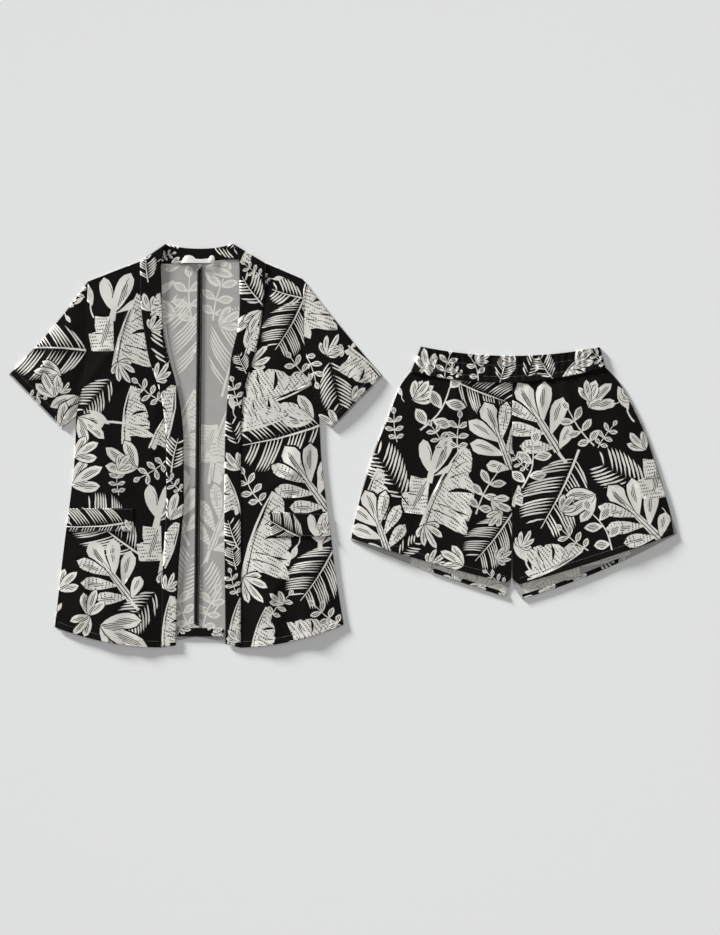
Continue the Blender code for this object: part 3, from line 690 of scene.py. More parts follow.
SHIRT_CREASES = [
    Crease(-500, 60, -400, 200, 9, 1.1),
    Crease(-495, 40, -390, 130, 8, 0.9),
    Crease(-490, 90, -430, 230, 7, -0.4),
    Crease(-560, 110, -480, 230, 10, 1.0),
    Crease(-575, 100, -520, 170, 7, 0.8),
    Crease(-400, 300, -345, 150, 8, 0.8),
    Crease(-450, -40, -340, -100, 9, 0.9),
    Crease(-500, -190, -400, -240, 10, 0.9),
    Crease(-430, -190, -350, -330, 9, 1.0),
    Crease(-480, -330, -460, -220, 8, 0.9),
    Crease(-345, -60, -335, 120, 9, 0.7),
    Crease(-430, 30, -415, -110, 7, 0.6),
    Crease(-30, 60, -130, 190, 9, 1.1),
    Crease(-35, 40, -150, 110, 8, 0.8),
    Crease(-50, 100, -100, 240, 7, -0.4),
    Crease(35, 130, -45, 230, 10, 1.0),
    Crease(45, 105, -5, 180, 7, 0.8),
    Crease(-115, 300, -165, 140, 8, 0.8),
    Crease(-60, -30, -160, -90, 9, 0.9),
    Crease(-20, -190, -120, -250, 10, 0.9),
    Crease(-90, -200, -165, -330, 9, 1.0),
    Crease(-40, -320, -60, -210, 8, 0.9),
    Crease(-175, -60, -170, 90, 9, 0.7),
    Crease(-90, 20, -100, -100, 7, 0.6),
    Crease(-275, 200, -240, 120, 9, 0.5),
    Crease(-240, -40, -280, -130, 10, 0.5),
]

BACK_LEFT = [
    Motif("sprig", -270, 215, 5, 95),
    Motif("palm", -300, 120, 10, 150),
    Motif("petals", -300, 235, 80, 50),
    Motif("half_leaf", -320, -40, -20, 150),
    Motif("block", -300, -20, 0, 70),
    Motif("oak", -285, -160, 20, 130),
    Motif("fern", -300, -290, -15, 110),
    Motif("sprig", -275, -330, 20, 80),
    Motif("half_leaf", -420, 150, -20, 150),
    Motif("palm", -420, -60, 30, 140, -1),
    Motif("oak", -420, -240, -10, 140),
    Motif("branch", -360, -190, 10, 100),
    Motif("sprig", -480, -150, 30, 80),
    Motif("fern", -470, -320, 10, 110),
    Motif("petals", -360, 60, 40, 60),
    Motif("sprout", -360, 250, 0, 90),
    Motif("petals", -292, 327, 80, 38),
]
BACK_RIGHT = [
    Motif("sprig", -235, 225, -15, 95),
    Motif("palm", -215, 100, -20, 150),
    Motif("petals", -225, 215, -60, 50),
    Motif("half_leaf", -240, -60, -15, 150),
    Motif("block", -250, -30, 0, 70),
    Motif("oak", -240, -190, -20, 130),
    Motif("fern", -235, -310, 15, 110),
    Motif("sprig", -255, -335, -20, 80),
    Motif("half_leaf", -110, 150, 20, 150, -1),
    Motif("palm", -100, -60, -30, 140),
    Motif("oak", -100, -240, 10, 140),
    Motif("branch", -150, -190, -10, 100),
    Motif("sprig", -40, -150, -30, 80),
    Motif("fern", -60, -320, -10, 110),
    Motif("petals", -150, 60, -40, 60),
    Motif("sprout", -150, 250, 0, 90),
    Motif("petals", -252, 318, -105, 55),
]


HIDDEN_CREASES = 0.4


def single_cloth(node, motifs, creases, slot="printed_cloth", share=1.0, grid=GRID, hem=None,
                 settles=0.0):
    """One ply laid on its node: cut, printed, laid on the solid with its creases, and finished.

    Share is how much of the creases it takes on: less where it lies under another piece.
    """
    solid = Solid(node)
    cloth = cut_cloth(solid.outline, motifs, grid)
    points = plan_points(cloth)
    heights = solid.height(points) - settles + share * crease_height(creases, points)
    if hem:
        heights += hem_height(solid.outline, hem, points)
    set_heights(cloth, heights)
    return finish_cloth(cloth, node, slot), solid


HEM_DEPTH = 10.8 * MM
HEM_RISE = 0.35 * MM
HEM_GROOVE = 1.6 * MM


def hem_height(outline, direction, points):
    """A stitched hem: a little thicker up to its row of stitches, which sits in a groove."""
    gap = distance_to(side_facing(outline, direction), points)
    past = (gap - HEM_DEPTH) / HEM_GROOVE
    return HEM_RISE * (0.5 - 0.5 * np.tanh(past)) - HEM_RISE * np.exp(-past ** 2)


for side, motifs in (("left", BACK_LEFT), ("right", BACK_RIGHT)):
    node = "shirt_back_" + side
    back, solid = single_cloth(node, motifs, SHIRT_CREASES, "cloth_inside", share=HIDDEN_CREASES)


# Centre back seam and back hem: the two seam allowances pressed open and overlocked in black,
# and the hem turned up to the inside, so that the right side of the print shows on it.
def scattered(outline, kinds, count, size, seed):
    """Small leaves along the edges of a narrow strip, as a cut through the print leaves them."""
    chance = random.Random(seed)
    rows = []
    for i in range(count):
        spot = outline[int(i * len(outline) / count)] / MM
        rows.append(Motif(chance.choice(kinds), spot.x, spot.y, chance.uniform(0, 360),
                          size * chance.uniform(0.6, 1.3), 1))
    return rows


for node, slot, kinds, count, size, seed in (
        ("shirt_back_seam", "seam_allowance", ("blade", "petals"), 46, 9, 3),
        ("shirt_back_hem", "printed_cloth", ("petals", "sprig", "bud"), 12, 26, 4)):
    motifs = scattered(plan_outline(merged_solid(node)), kinds, count, size, seed)
    strip, solid = single_cloth(node, motifs, SHIRT_CREASES, slot, share=HIDDEN_CREASES,
                                grid=STRIP_GRID)


# Shirt fronts: one printed ply each, lying over the backs and sewn to them at the side and shoulder.
# The hem is turned up and stitched once, about 11 mm from its edge.
SHIRT_FRONT_LEFT = [
    Motif("sprout", -415, 230, -7, 84),
    Motif("block", -433, 171, 3, 63),
    Motif("half_leaf", -413, 144, -18, 136),
    Motif("bud", -406, 151, -148, 44),
    Motif("blade", -449, 230, 11, 64),
    Motif("fern", -417, 122, 139, 91),
    Motif("petals", -478, 52, -131, 62),
    Motif("half_leaf", -397, 9, -8, 100),
    Motif("sprig", -327, 79, 52, 59),
    Motif("stem", -320, -2, 68, 151, -1),
    Motif("half_leaf", -348, 0, -30, 79),
    Motif("petals", -370, -42, 55, 70),
    Motif("petals", -491, -72, -61, 66),
    Motif("petals", -485, -22, -59, 52),
    Motif("sprig", -404, -89, 4, 47),
    Motif("sprig", -320, -27, 123, 60),
    Motif("sprout", -336, -143, -9, 84),
    Motif("block", -347, -207, 3, 63),
    Motif("half_leaf", -330, -231, -18, 136),
    Motif("oak", -381, -279, 37, 131),
    Motif("bud", -325, -224, -148, 44, -1),
    Motif("fern", -336, -260, 140, 96),
    Motif("petals", -460, -306, -19, 50),
    Motif("petals", -456, -306, 135, 46),
    Motif("petals", -440, -323, -113, 96, -1),
    Motif("petals", -514, -260, -48, 48),
    Motif("palm", -372, -191, 51, 130),
    Motif("blade", -518, -306, -25, 26),
    Motif("petals", -406, -44, -39, 35),
]
SHIRT_FRONT_RIGHT = [
    Motif("sprig", -136, 291, 32, 34),
    Motif("blade", -138, 298, -83, 31),
    Motif("palm", -73, 262, 151, 105),
    Motif("bud", -168, 144, -42, 48, -1),
    Motif("sprig", -57, 115, 41, 62),
    Motif("half_leaf", -181, 68, -71, 131, -1),
    Motif("petals", -53, 46, 63, 67),
    Motif("half_leaf", -185, 27, -71, 112, -1),
    Motif("palm", -39, 39, 105, 151),
    Motif("oak", -28, -117, 35, 140),
    Motif("sprig", -147, -107, 30, 69),
    Motif("half_leaf", -181, -236, -19, 163),
    Motif("blade", -78, -164, 157, 45),
    Motif("sprout", -41, -184, 5, 63),
    Motif("palm", -15, -179, 148, 120),
    Motif("bud", -181, -236, -140, 59),
    Motif("sprig", -132, -308, -41, 55),
    Motif("half_leaf", -165, -364, -19, 78),
    Motif("half_leaf", -93, -364, -64, 92, -1),
    Motif("sprig", -5, -324, 52, 64),
    Motif("petals", -107, -285, 52, 32),
    Motif("sprig", -176, 289, -35, 50),
    Motif("young_palm", -72, 266, 75, 60),
]

for side, motifs in (("left", SHIRT_FRONT_LEFT), ("right", SHIRT_FRONT_RIGHT)):
    node = "shirt_front_" + side
    front, solid = single_cloth(node, motifs, SHIRT_CREASES, hem=(0, -1))


# Sleeves: each is one printed piece folded along its upper edge into a short wide tube, pressed flat.
# The cuff is hemmed, and its under layer shows past the upper one as a narrow line.
SLEEVE_LOOK = {"left": ((-0.72, -0.70), (1, -0.05)), "right": ((0.72, -0.70), (-1, -0.05))}
FOLD_RADIUS = 1.7 * MM
ON_FOLD = 0.001 * MM
UNDER_PLY_LIFT = 0.1 * MM
CUFF_PEEP = 3.5 * MM
CUFF_REACH = 30 * MM
FOLD_TOP = 4.0 * MM
WELD = 0.02 * MM

SLEEVE_LEFT = [
    Motif("palm", -458, 170, 88, 138, -1),
    Motif("blade", -492, 248, -52, 30),
    Motif("blade", -507, 243, -143, 27),
    Motif("petals", -507, 126, 82, 51, -1),
    Motif("petals", -518, 86, 25, 52),
    Motif("bud", -510, 93, -37, 27),
    Motif("petals", -476, 90, 141, 65, -1),
    Motif("petals", -510, 28, -40, 61),
    Motif("sprig", -579, 86, -90, 40),
    Motif("sprig", -500, 252, -48, 43),
]
SLEEVE_RIGHT = [
    Motif("half_leaf", -76, 200, -8, 128),
    Motif("bud", -32, 162, -29, 45),
    Motif("blade", 3, 167, -49, 36),
    Motif("fern", -26, 155, -167, 96),
    Motif("half_leaf", 12, 176, -135, 92),
    Motif("sprig", -71, 169, -159, 62),
    Motif("petals", -10, 37, 61, 41),
    Motif("petals", 15, 82, -49, 33),
    Motif("bud", 1, 172, 98, 25),
    Motif("blade", -57, 73, 18, 36),
]


def tube_cloth(node, motifs, creases, openings, grid=GRID, hem=None, peep=0.0, extra=None):
    """A tube pressed flat: two layers of the same cut, joined by rounded folds but at its openings.

    Peep is how far the under layer slips out at the first opening. Extra gives further heights.
    """
    solid = Solid(node)
    cloth = cut_cloth(solid.outline, motifs, grid)
    points = plan_points(cloth)
    top = solid.height(points) + crease_height(creases, points)
    if hem:
        top += hem_height(solid.outline, hem, points)
    if extra:
        top += extra(points)
    under = solid.height(points, from_above=False) + UNDER_PLY_LIFT
    open_sides = [pair for way in openings for pair in side_facing(solid.outline, way)]
    folds = [pair for pair in zip(solid.outline, solid.outline[1:] + solid.outline[:1])
             if pair not in open_sides]
    from_fold = distance_to(folds, points)
    share_in = np.clip(from_fold / FOLD_RADIUS, 0, 1)
    roundness = np.sqrt(1 - (1 - share_in) ** 2)
    middle = (np.minimum(top, FOLD_TOP) + under) / 2
    set_heights(cloth, middle + (top - middle) * roundness)
    upper = list(cloth.verts)
    copy = bmesh.ops.duplicate(cloth, geom=cloth.verts[:] + cloth.edges[:] + cloth.faces[:])
    lower_faces = [g for g in copy["geom"] if isinstance(g, bmesh.types.BMFace)]
    bmesh.ops.reverse_faces(cloth, faces=lower_faces)
    twin = copy["vert_map"]
    for vert, height in zip(upper, middle - (middle - under) * roundness):
        twin[vert].co.z = height
    if peep:
        way = Vector(openings[0]).normalized()
        from_cuff = distance_to(side_facing(solid.outline, openings[0]), points)
        slip = peep * np.exp(-(from_cuff / CUFF_REACH) ** 2) * roundness
        for vert, amount in zip(upper, slip):
            twin[vert].co.xy += way * amount
    on_fold = [vert for vert, gap in zip(upper, from_fold) if gap < ON_FOLD]
    on_fold += [twin[vert] for vert in on_fold]
    bmesh.ops.remove_doubles(cloth, verts=on_fold, dist=WELD)
    return cloth, solid


for side, motifs in (("left", SLEEVE_LEFT), ("right", SLEEVE_RIGHT)):
    node = "shirt_sleeve_" + side
    cloth, solid = tube_cloth(node, motifs, SHIRT_CREASES, SLEEVE_LOOK[side], hem=SLEEVE_LOOK[side][0],
                              peep=CUFF_PEEP)
    sleeve = finish_cloth(cloth, node)


# Front and neck bands: straight strips of the print, folded in two along their length and stitched on,
# so each is two plies with rounded edges. The neck band's inner face shows at the back of the neck.
BAND_PLY = 0.5 * MM
BAND_GRID = 4.0 * MM

BAND_LEFT = [
    Motif("young_palm", -352, 298, 5, 45),
    Motif("blade", -334, 331, -58, 27),
    Motif("petals", -348, 241, 18, 36),
    Motif("half_leaf", -325, 230, 7, 45, -1),
    Motif("bud", -348, 208, -45, 36),
    Motif("young_fern", -316, 142, 9, 67),
    Motif("bud", -339, 118, -36, 40),
    Motif("sprig", -321, 79, 49, 60),
    Motif("half_leaf", -316, 18, -9, 91, -1),
    Motif("young_palm", -309, -44, -11, 59),
    Motif("sprig", -291, -83, 42, 43),
    Motif("petals", -312, -134, -16, 52),
    Motif("half_leaf", -320, -216, -18, 80, -1),
    Motif("bud", -320, -260, -24, 35),
    Motif("half_leaf", -325, -362, -8, 93),
    Motif("young_palm", -330, -206, -22, 39),
]
BAND_RIGHT = [
    Motif("half_leaf", -185, 331, -29, 33),
    Motif("sprig", -147, 306, 56, 39),
    Motif("young_palm", -147, 255, 36, 62),
    Motif("petals", -158, 241, 162, 68),
    Motif("petals", -147, 244, 153, 48, -1),
    Motif("half_leaf", -176, 169, -25, 52),
    Motif("sprig", -186, 68, 16, 52),
    Motif("blade", -194, 50, 13, 41),
    Motif("young_palm", -176, 133, 24, 35),
    Motif("young_fern", -190, 0, 17, 49),
    Motif("petals", -186, -44, 38, 41),
    Motif("half_leaf", -186, -119, 20, 73, -1),
    Motif("young_palm", -190, -184, 20, 54),
    Motif("young_palm", -194, -220, 10, 40),
    Motif("sprig", -190, -270, 18, 46),
    Motif("half_leaf", -208, -360, -14, 89),
    Motif("petals", -186, -353, 45, 31),
]
BAND_NECK = [
    Motif("young_fern", -324, 366, -82, 34),
    Motif("petals", -298, 369, 175, 15),
    Motif("sprig", -334, 336, -70, 30),
    Motif("young_fern", -236, 358, -96, 48),
    Motif("petals", -312, 325, -80, 26),
]

for node, motifs in (("shirt_band_left", BAND_LEFT), ("shirt_band_right", BAND_RIGHT),
                     ("shirt_band_neck", BAND_NECK)):
    cloth, solid = tube_cloth(node, motifs, SHIRT_CREASES, [], grid=BAND_GRID)
    band = finish_cloth(cloth, node, ply=BAND_PLY)


# Flaps: a plain printed strip across each lower front, stitched on along its upper and lower edges.
# The cut of the print on it doesn't line up with the leaves round it.
FLAP_LEFT = [
    Motif("palm", -392, -138, 94, 112),
    Motif("petals", -378, -158, 30, 30),
    Motif("sprig", -492, -140, 60, 40),
]
FLAP_RIGHT = [
    Motif("palm", -72, -166, 62, 80),
    Motif("sprout", -50, -172, -8, 56),
    Motif("petals", -28, -160, 15, 30),
]
FLAP_SETTLES = 0.7 * MM
FLAP_GRID = 4.0 * MM

for side, motifs in (("left", FLAP_LEFT), ("right", FLAP_RIGHT)):
    node = "shirt_flap_" + side
    flap, solid = single_cloth(node, motifs, SHIRT_CREASES, grid=FLAP_GRID, hem=(0, -1),
                               settles=FLAP_SETTLES)


# Label: a blank strip of white satin ribbon inside the back of the neck, sewn down at its ends.
# It has curled, so its left end stands up in a hump, its right end in a small tab, and its middle is
# low. The shape is given as shares of the label's width and height.
LABEL_RISE = 0.9 * MM
LABEL_PLY = 0.45 * MM
LABEL_GRID = 2.0 * MM
LABEL_RINGS = (0.4 * MM, 1.0 * MM)
LABEL_SEWN = 5.0 * MM
LABEL_SHAPE = [(0.0, 0.0), (1.0, 0.0), (1.03, 0.5), (1.0, 0.9), (0.94, 1.0), (0.88, 0.85), (0.83, 0.58),
               (0.46, 0.54), (0.38, 0.82), (0.27, 1.0), (0.15, 0.95), (0.06, 0.6)]
LABEL_CORNER = math.radians(75)


def thread_material(name, colour, roughness, sheen, threads, slub):
    """Smooth thread of one colour, with a slight shine: woven to a ribbon, or a sewing thread."""
    material = bpy.data.materials.new(name)
    material.use_nodes = True
    tree = material.node_tree
    shader = tree.nodes["Principled BSDF"]
    shader.inputs["Roughness"].default_value = roughness
    shader.inputs["Sheen Weight"].default_value = sheen
    weave = group_node(tree, PLAIN_WEAVE, Threads_per_metre=threads, Slub=slub)
    base = add_node(tree, "ShaderNodeRGB").outputs[0]
    base.default_value = (*colour, 1.0)
    tree.links.new(toned(tree, base, weave.outputs["Tone"]), shader.inputs["Base Color"])
    bump = add_node(tree, "ShaderNodeBump", {"Height": weave.outputs["Height"], "Distance": 0.0001,
                                             "Strength": 0.4})
    tree.links.new(bump.outputs["Normal"], shader.inputs["Normal"])
    return material


LABEL_SATIN = thread_material("label_satin", (0.74, 0.73, 0.69), 0.42, 0.1, 2600.0, 0.1)
LOOKS["label"] = (LABEL_SATIN, LABEL_SATIN)
solid = Solid("shirt_label")
low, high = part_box("shirt_label")
label_corners = [Vector((low.x + across * (high.x - low.x), low.y + up * (high.y - low.y)))
                 for across, up in LABEL_SHAPE]
label_outline = smoothed_outline(label_corners, LABEL_GRID, LABEL_CORNER)
cloth = cut_cloth(label_outline, [], grid=LABEL_GRID, rings=LABEL_RINGS)
points = plan_points(cloth)
ends = distance_to(side_facing(label_outline, (-1, 0)) + side_facing(label_outline, (1, 0)), points)
set_heights(cloth, solid.height(points) + LABEL_RISE * (1 - np.exp(-(ends / LABEL_SEWN) ** 2)))
label = finish_cloth(cloth, "shirt_label", "label", ply=LABEL_PLY)


# Shorts backs and back hems: the back of each leg lies face down and shows its wrong side below the
# front hem, with its own hem turned up as a narrow printed edge.
SHORTS_CREASES = [
    Crease(303, 100, 285, -60, 9, 0.9),
    Crease(300, -80, 220, -20, 9, 1.0),
    Crease(295, -110, 190, -90, 8, 0.8),
    Crease(310, -80, 390, -20, 9, 1.0),
    Crease(315, -110, 420, -95, 8, 0.8),
    Crease(391, 108, 424, 60, 6, 1.2),
    Crease(86, 70, 40, -75, 2.5, -0.5),
    Crease(530, 50, 563, -30, 2.5, -0.5),
    Crease(160, 120, 150, 40, 7, 0.9),
    Crease(200, 118, 205, 50, 6, 0.8),
    Crease(240, 112, 235, 30, 7, 0.9),
    Crease(280, 110, 275, 60, 6, 0.7),
    Crease(330, 112, 335, 50, 6, 0.8),
    Crease(360, 114, 352, 70, 6, 0.8),
    Crease(430, 122, 425, 60, 7, 0.9),
    Crease(460, 128, 470, 60, 6, 0.8),
    Crease(100, -20, 60, -150, 10, 1.0),
    Crease(160, -60, 130, -190, 9, 0.9),
    Crease(230, -60, 215, -200, 9, 0.8),
    Crease(380, -60, 400, -200, 9, 0.8),
    Crease(450, -60, 480, -190, 9, 0.9),
    Crease(510, -20, 560, -140, 10, 1.0),
    Crease(60, -60, 150, -90, 8, -0.4),
    Crease(540, -60, 450, -90, 8, -0.4),
]

SHORTS_BACK_LEFT = [
    Motif("palm", 120, -190, -30, 100),
    Motif("block", 118, -215, -108, 80),
    Motif("half_leaf", 285, -268, 70, 105),
    Motif("petals", 250, -262, -110, 50),
    Motif("oak", 120, -40, 10, 140),
    Motif("fern", 220, -60, -20, 120),
    Motif("branch", 180, 40, 15, 90),
    Motif("palm", 260, 20, 20, 100),
    Motif("half_leaf", 60, -120, 10, 100),
]
SHORTS_BACK_RIGHT = [
    Motif("palm", 480, -190, 30, 100, -1),
    Motif("block", 345, -240, -76, 85),
    Motif("petals", 322, -262, -60, 50),
    Motif("half_leaf", 418, -216, -77, 100, -1),
    Motif("oak", 480, -40, -10, 140),
    Motif("fern", 380, -60, 20, 120),
    Motif("branch", 420, 40, -15, 90),
    Motif("palm", 340, 20, -20, 100),
    Motif("half_leaf", 545, -120, -10, 100, -1),
]

for side, motifs, seed in (("left", SHORTS_BACK_LEFT, 5), ("right", SHORTS_BACK_RIGHT, 6)):
    node = "shorts_back_" + side
    back, solid = single_cloth(node, motifs, SHORTS_CREASES, "cloth_inside", share=HIDDEN_CREASES)
    node = "shorts_hem_" + side
    motifs = scattered(plan_outline(merged_solid(node)), ("petals", "sprig", "bud"), 16, 22, seed)
    strip, _ = single_cloth(node, motifs, SHORTS_CREASES, share=HIDDEN_CREASES, grid=STRIP_GRID)


# Shorts fronts: a printed front for each leg, joined at the centre seam, over the backs.
# The hem is stitched up as the shirt's is, and creases run down from the gathered waist.
SHORTS_HEM_WAY = {"left": (-0.3, -1), "right": (0.3, -1)}

SHORTS_FRONT_LEFT = [
    Motif("sprout", 156, -62, -10, 84),
    Motif("block", 127, -121, -5, 67),
    Motif("half_leaf", 141, -144, -27, 161),
    Motif("bud", 145, -141, -152, 49),
    Motif("bud", 152, -216, -52, 41),
    Motif("petals", 217, -216, 60, 50, -1),
    Motif("petals", 123, 82, -58, 47),
    Motif("petals", 125, 82, -37, 45, -1),
    Motif("branch", 138, 28, -35, 101),
    Motif("sprig", 96, 7, 6, 54),
    Motif("sprig", 206, -11, -3, 65),
    Motif("palm", 202, 117, -112, 109, -1),
    Motif("oak", 303, -45, 21, 133, -1),
    Motif("sprig", 238, -123, -27, 89),
    Motif("fern", 111, -98, 31, 114),
    Motif("half_leaf", 33, -132, -17, 96),
    Motif("oak", 80, -193, 19, 120, -1),
    Motif("palm", 300, -126, 142, 105),
    Motif("petals", 264, -98, -114, 43, -1),
    Motif("young_fern", 98, -198, -51, 46),
    Motif("bud", 274, -206, -58, 34),
    Motif("sprig", 292, -251, 57, 43),
    Motif("blade", 109, 79, 21, 31),
    Motif("half_leaf", 296, -11, -14, 74),
    Motif("petals", 282, -119, 139, 33),
    Motif("sprig", 181, -8, 28, 53, -1),
]
SHORTS_FRONT_RIGHT = [
    Motif("oak", 388, -11, 32, 145),
    Motif("petals", 440, 68, -45, 61),
    Motif("petals", 444, 79, 10, 40),
    Motif("sprig", 451, 0, 36, 85),
    Motif("branch", 321, -76, -14, 89),
    Motif("sprig", 458, -4, -34, 52),
    Motif("palm", 418, -18, 154, 148),
    Motif("petals", 454, -87, 122, 68),
    Motif("fern", 555, -83, 61, 118),
    Motif("oak", 571, -168, 46, 136),
    Motif("branch", 483, -188, 30, 87),
    Motif("sprig", 440, -188, 52, 64),
    Motif("half_leaf", 336, -238, -63, 105, -1),
    Motif("blade", 343, -231, 29, 74),
    Motif("blade", 498, 82, 120, 29),
    Motif("blade", 523, 43, 24, 71),
    Motif("petals", 544, -8, 42, 43),
    Motif("block", 562, -94, 9, 73),
    Motif("petals", 519, 79, 36, 31),
    Motif("sprig", 332, -44, 42, 43),
    Motif("bud", 318, -184, -29, 37),
    Motif("blade", 573, -112, -150, 29),
    Motif("half_leaf", 303, -108, -17, 38),
    Motif("petals", 390, -119, -41, 38),
]

for side, motifs in (("left", SHORTS_FRONT_LEFT), ("right", SHORTS_FRONT_RIGHT)):
    node = "shorts_front_" + side
    front, solid = single_cloth(node, motifs, SHORTS_CREASES, hem=SHORTS_HEM_WAY[side])


# Waistband: a printed casing folded over wide elastic, drawn in to small even gathers.
# Two rows of stitching run round it through the elastic.
ELASTIC_ROWS = (0.36, 0.78)
GATHERS_PER_METRE = 74.0
GATHER_DEPTH = 0.45 * MM
ROW_DEPTH = 0.4 * MM
ROW_REACH = 0.05
ROW_FLATTENS = 0.4

WAISTBAND = [
    Motif("petals", 152, 133, 9, 44),
    Motif("half_leaf", 138, 135, -47, 39),
    Motif("sprig", 181, 111, -11, 59),
    Motif("sprig", 213, 126, 49, 33),
    Motif("branch", 242, 118, 18, 46),
    Motif("bud", 238, 151, -60, 29),
    Motif("young_palm", 282, 117, -19, 44),
    Motif("petals", 310, 151, 69, 31),
    Motif("young_fern", 328, 122, -24, 43),
    Motif("young_palm", 375, 122, 32, 47),
    Motif("half_leaf", 390, 115, -39, 69),
    Motif("petals", 418, 144, -45, 41),
    Motif("sprig", 472, 144, 45, 36),
    Motif("blade", 462, 158, 27, 24),
]


def band_share(outline, points):
    """How far down the waistband a point lies: 0 at its top edge, 1 at its seam."""
    top = distance_to(side_facing(outline, (0, 1)), points)
    seam = distance_to(side_facing(outline, (0, -1)), points)
    return top / (top + seam)


def gathers(points):
    """Small gathers of the waistband, deepest between its rows of stitches."""
    share = band_share(waist_outline, points)
    rows = sum(np.exp(-((share - row) / ROW_REACH) ** 2) for row in ELASTIC_ROWS)
    unevenness = 1.3 * np.sin(points[:, 0] * 61) + 0.8 * np.sin(points[:, 0] * 143 + 2)
    wave = np.sin(points[:, 0] * GATHERS_PER_METRE * math.tau + unevenness)
    return GATHER_DEPTH * wave * (1 - ROW_FLATTENS * rows) - ROW_DEPTH * rows


waist_outline = Solid("shorts_waistband").outline
cloth, solid = tube_cloth("shorts_waistband", WAISTBAND, [], [(0, 1), (0, -1)], grid=STRIP_GRID,
                          extra=gathers)
waistband = finish_cloth(cloth, "shorts_waistband")


# Stitches: dark polyester thread. Lockstitch rows hold the hems, the flaps and the elastic, and an
# overlock binds the edges of the centre back seam with bars of thread right across them.
STITCH = 2.3 * MM
STITCH_PITCH = 3.0 * MM
THREAD_RADIUS = 0.32 * MM
ROW_BREAK = 40 * MM
FLAP_ROW = 2.0 * MM
LABEL_ROW = 1.2 * MM
LABEL_STITCH = 1.6 * MM
BAR_ROW = 1.7 * MM
BAR_PITCH = 2.1 * MM
BAR_LENGTH = 2.8 * MM


DARK_THREAD = thread_material("dark_thread", (0.075, 0.072, 0.068), 0.45, 0.2, 1900.0, 0.2)
WHITE_THREAD = thread_material("white_thread", (0.7, 0.69, 0.66), 0.45, 0.2, 1900.0, 0.2)


def surface_spot(node, spot):
    """The point on a finished piece's upper side at a plan place, or nothing past its edge."""
    return SURFACES[node].ray_cast(Vector((*spot, ABOVE)), Vector((0, 0, -1)))[0]


def row_beside(outline, direction, inset):
    """A line inside an outline, at an even distance from the side that looks along a direction."""
    return [(start + end) / 2 + Vector((start.y - end.y, end.x - start.x)).normalized() * inset
            for start, end in side_facing(outline, direction)]


def stitches_along(path, pitch):
    """Middle and heading of each stitch, evenly spaced along a line of points, but not over a break."""
    spots, left = [], pitch / 2
    for start, end in zip(path, path[1:]):
        along = end - start
        if along.length > ROW_BREAK:
            continue
        while left < along.length:
            spots.append((start + along.normalized() * left, along.normalized()))
            left += pitch
        left -= along.length
    return spots


def sew(name, rows, thread, length=STITCH):
    """Makes one piece of all the stitches of some rows: node, middles and headings, one bead each."""
    sewing = bmesh.new()
    for node, stitches in rows:
        for spot, heading in stitches:
            ends = [surface_spot(node, spot + heading * reach * length / 2) for reach in (-1, 1)]
            if None in ends:
                continue
            along = ends[1] - ends[0]
            turn = along.to_track_quat("X", "Z").to_matrix().to_4x4()
            size = Matrix.Diagonal((along.length / 2, THREAD_RADIUS, THREAD_RADIUS, 1))
            bmesh.ops.create_uvsphere(sewing, u_segments=6, v_segments=4, radius=1.0,
                                      matrix=Matrix.Translation((ends[0] + ends[1]) / 2) @ turn @ size)
    for face in sewing.faces:
        face.smooth = True
    mesh = bpy.data.meshes.new(name)
    sewing.to_mesh(mesh)
    sewing.free()
    mesh.materials.append(thread)
    piece = bpy.data.objects.new(name, mesh)
    bpy.context.scene.collection.objects.link(piece)
    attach(piece, "root")


def lockstitch(node, direction, inset=HEM_DEPTH):
    """A row of lockstitch beside one edge of a piece."""
    path = row_beside(Solid(node).outline, direction, inset)
    return node, stitches_along(path, STITCH_PITCH)


SIDES = ("left", "right")
sew("shirt_hem_stitches",
    [lockstitch("shirt_front_" + side, (0, -1)) for side in SIDES]
    + [lockstitch("shirt_sleeve_" + side, SLEEVE_LOOK[side][0]) for side in SIDES],
    DARK_THREAD)
sew("shirt_flap_stitches",
    [lockstitch("shirt_flap_" + side, way, FLAP_ROW) for side in SIDES for way in ((0, 1), (0, -1))],
    DARK_THREAD)
sew("shorts_hem_stitches", [lockstitch("shorts_front_" + side, SHORTS_HEM_WAY[side]) for side in SIDES],
    DARK_THREAD)
sew("label_stitches", [lockstitch("shirt_label", (way, 0), LABEL_ROW) for way in (-1, 1)],
    WHITE_THREAD, LABEL_STITCH)

bars = []
for way in (-1, 1):
    edge = row_beside(Solid("shirt_back_seam").outline, (way, 0), BAR_ROW)
    bars += [(spot, Vector((1, 0.3 * way)).normalized()) for spot, _ in stitches_along(edge, BAR_PITCH)]
sew("back_seam_overlock", [("shirt_back_seam", bars)], DARK_THREAD, BAR_LENGTH)

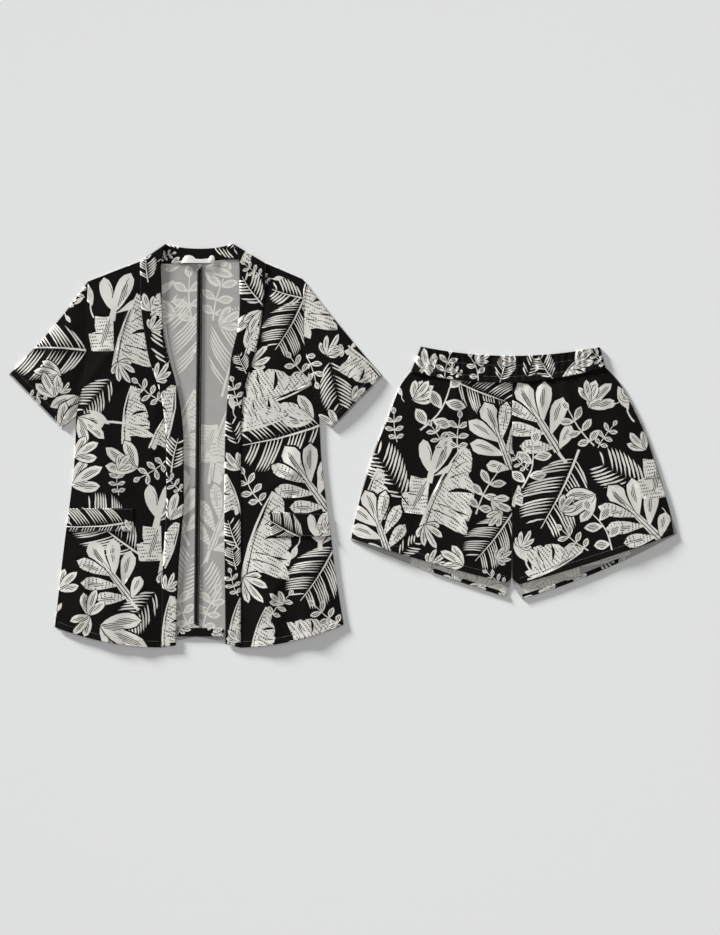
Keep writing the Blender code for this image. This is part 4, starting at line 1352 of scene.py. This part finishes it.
waist_top = row_beside(waist_outline, (0, 1), 0)
waist_seam = row_beside(waist_outline, (0, -1), 0)
waist_rows = []
for row in ELASTIC_ROWS:
    line = []
    for spot in waist_top:
        foot = min(waist_seam, key=lambda below: abs(below.x - spot.x))
        line.append(spot.lerp(foot, row))
    waist_rows.append(("shorts_waistband", stitches_along(line, STITCH_PITCH)))
sew("waist_elastic_stitches", waist_rows, DARK_THREAD)


# Floor and studio light: a plain pale ground, a wide soft light overhead and a low soft sun from the
# upper left, which throws the shadows at the lower right.
FLOOR_SIZE = 6.0
OVERHEAD_HEIGHT = 4.0
OVERHEAD_WIDTH = 4.0
OVERHEAD_POWER = 42.0
SKY_STRENGTH = 0.25
KEY_STRENGTH = 12.5
KEY_SOFTNESS = 6.5
KEY_ELEVATION = 7.6
KEY_BEARING = 225.0


def floor_material():
    """Plain pale matt board."""
    material = bpy.data.materials.new("studio_floor")
    material.use_nodes = True
    shader = material.node_tree.nodes["Principled BSDF"]
    shader.inputs["Base Color"].default_value = (0.76, 0.768, 0.766, 1.0)
    shader.inputs["Roughness"].default_value = 0.9
    shader.inputs["Specular IOR Level"].default_value = 0.1
    return material


sheet = bmesh.new()
bmesh.ops.create_grid(sheet, x_segments=2, y_segments=2, size=FLOOR_SIZE)
floor_mesh = bpy.data.meshes.new("floor")
sheet.to_mesh(floor_mesh)
sheet.free()
floor_mesh.materials.append(floor_material())
floor = bpy.data.objects.new("floor", floor_mesh)
bpy.context.scene.collection.objects.link(floor)


overhead = bpy.data.objects.new("overhead_light", bpy.data.lights.new("overhead_light", "AREA"))
overhead.data.size = OVERHEAD_WIDTH
overhead.data.energy = OVERHEAD_POWER
overhead.location = (0.0, 0.0, OVERHEAD_HEIGHT)
bpy.context.scene.collection.objects.link(overhead)
sun = bpy.data.objects.new("key_light", bpy.data.lights.new("key_light", "SUN"))
sun.data.energy = KEY_STRENGTH
sun.data.angle = math.radians(KEY_SOFTNESS)
sun.rotation_euler = (math.radians(90 - KEY_ELEVATION), 0, math.radians(KEY_BEARING))
bpy.context.scene.collection.objects.link(sun)
bpy.context.scene.view_settings.view_transform = "Standard"
world = bpy.data.worlds.new("studio")
world.use_nodes = True
world.node_tree.nodes["Background"].inputs["Color"].default_value = (1.0, 1.0, 1.0, 1.0)
world.node_tree.nodes["Background"].inputs["Strength"].default_value = SKY_STRENGTH
bpy.context.scene.world = world
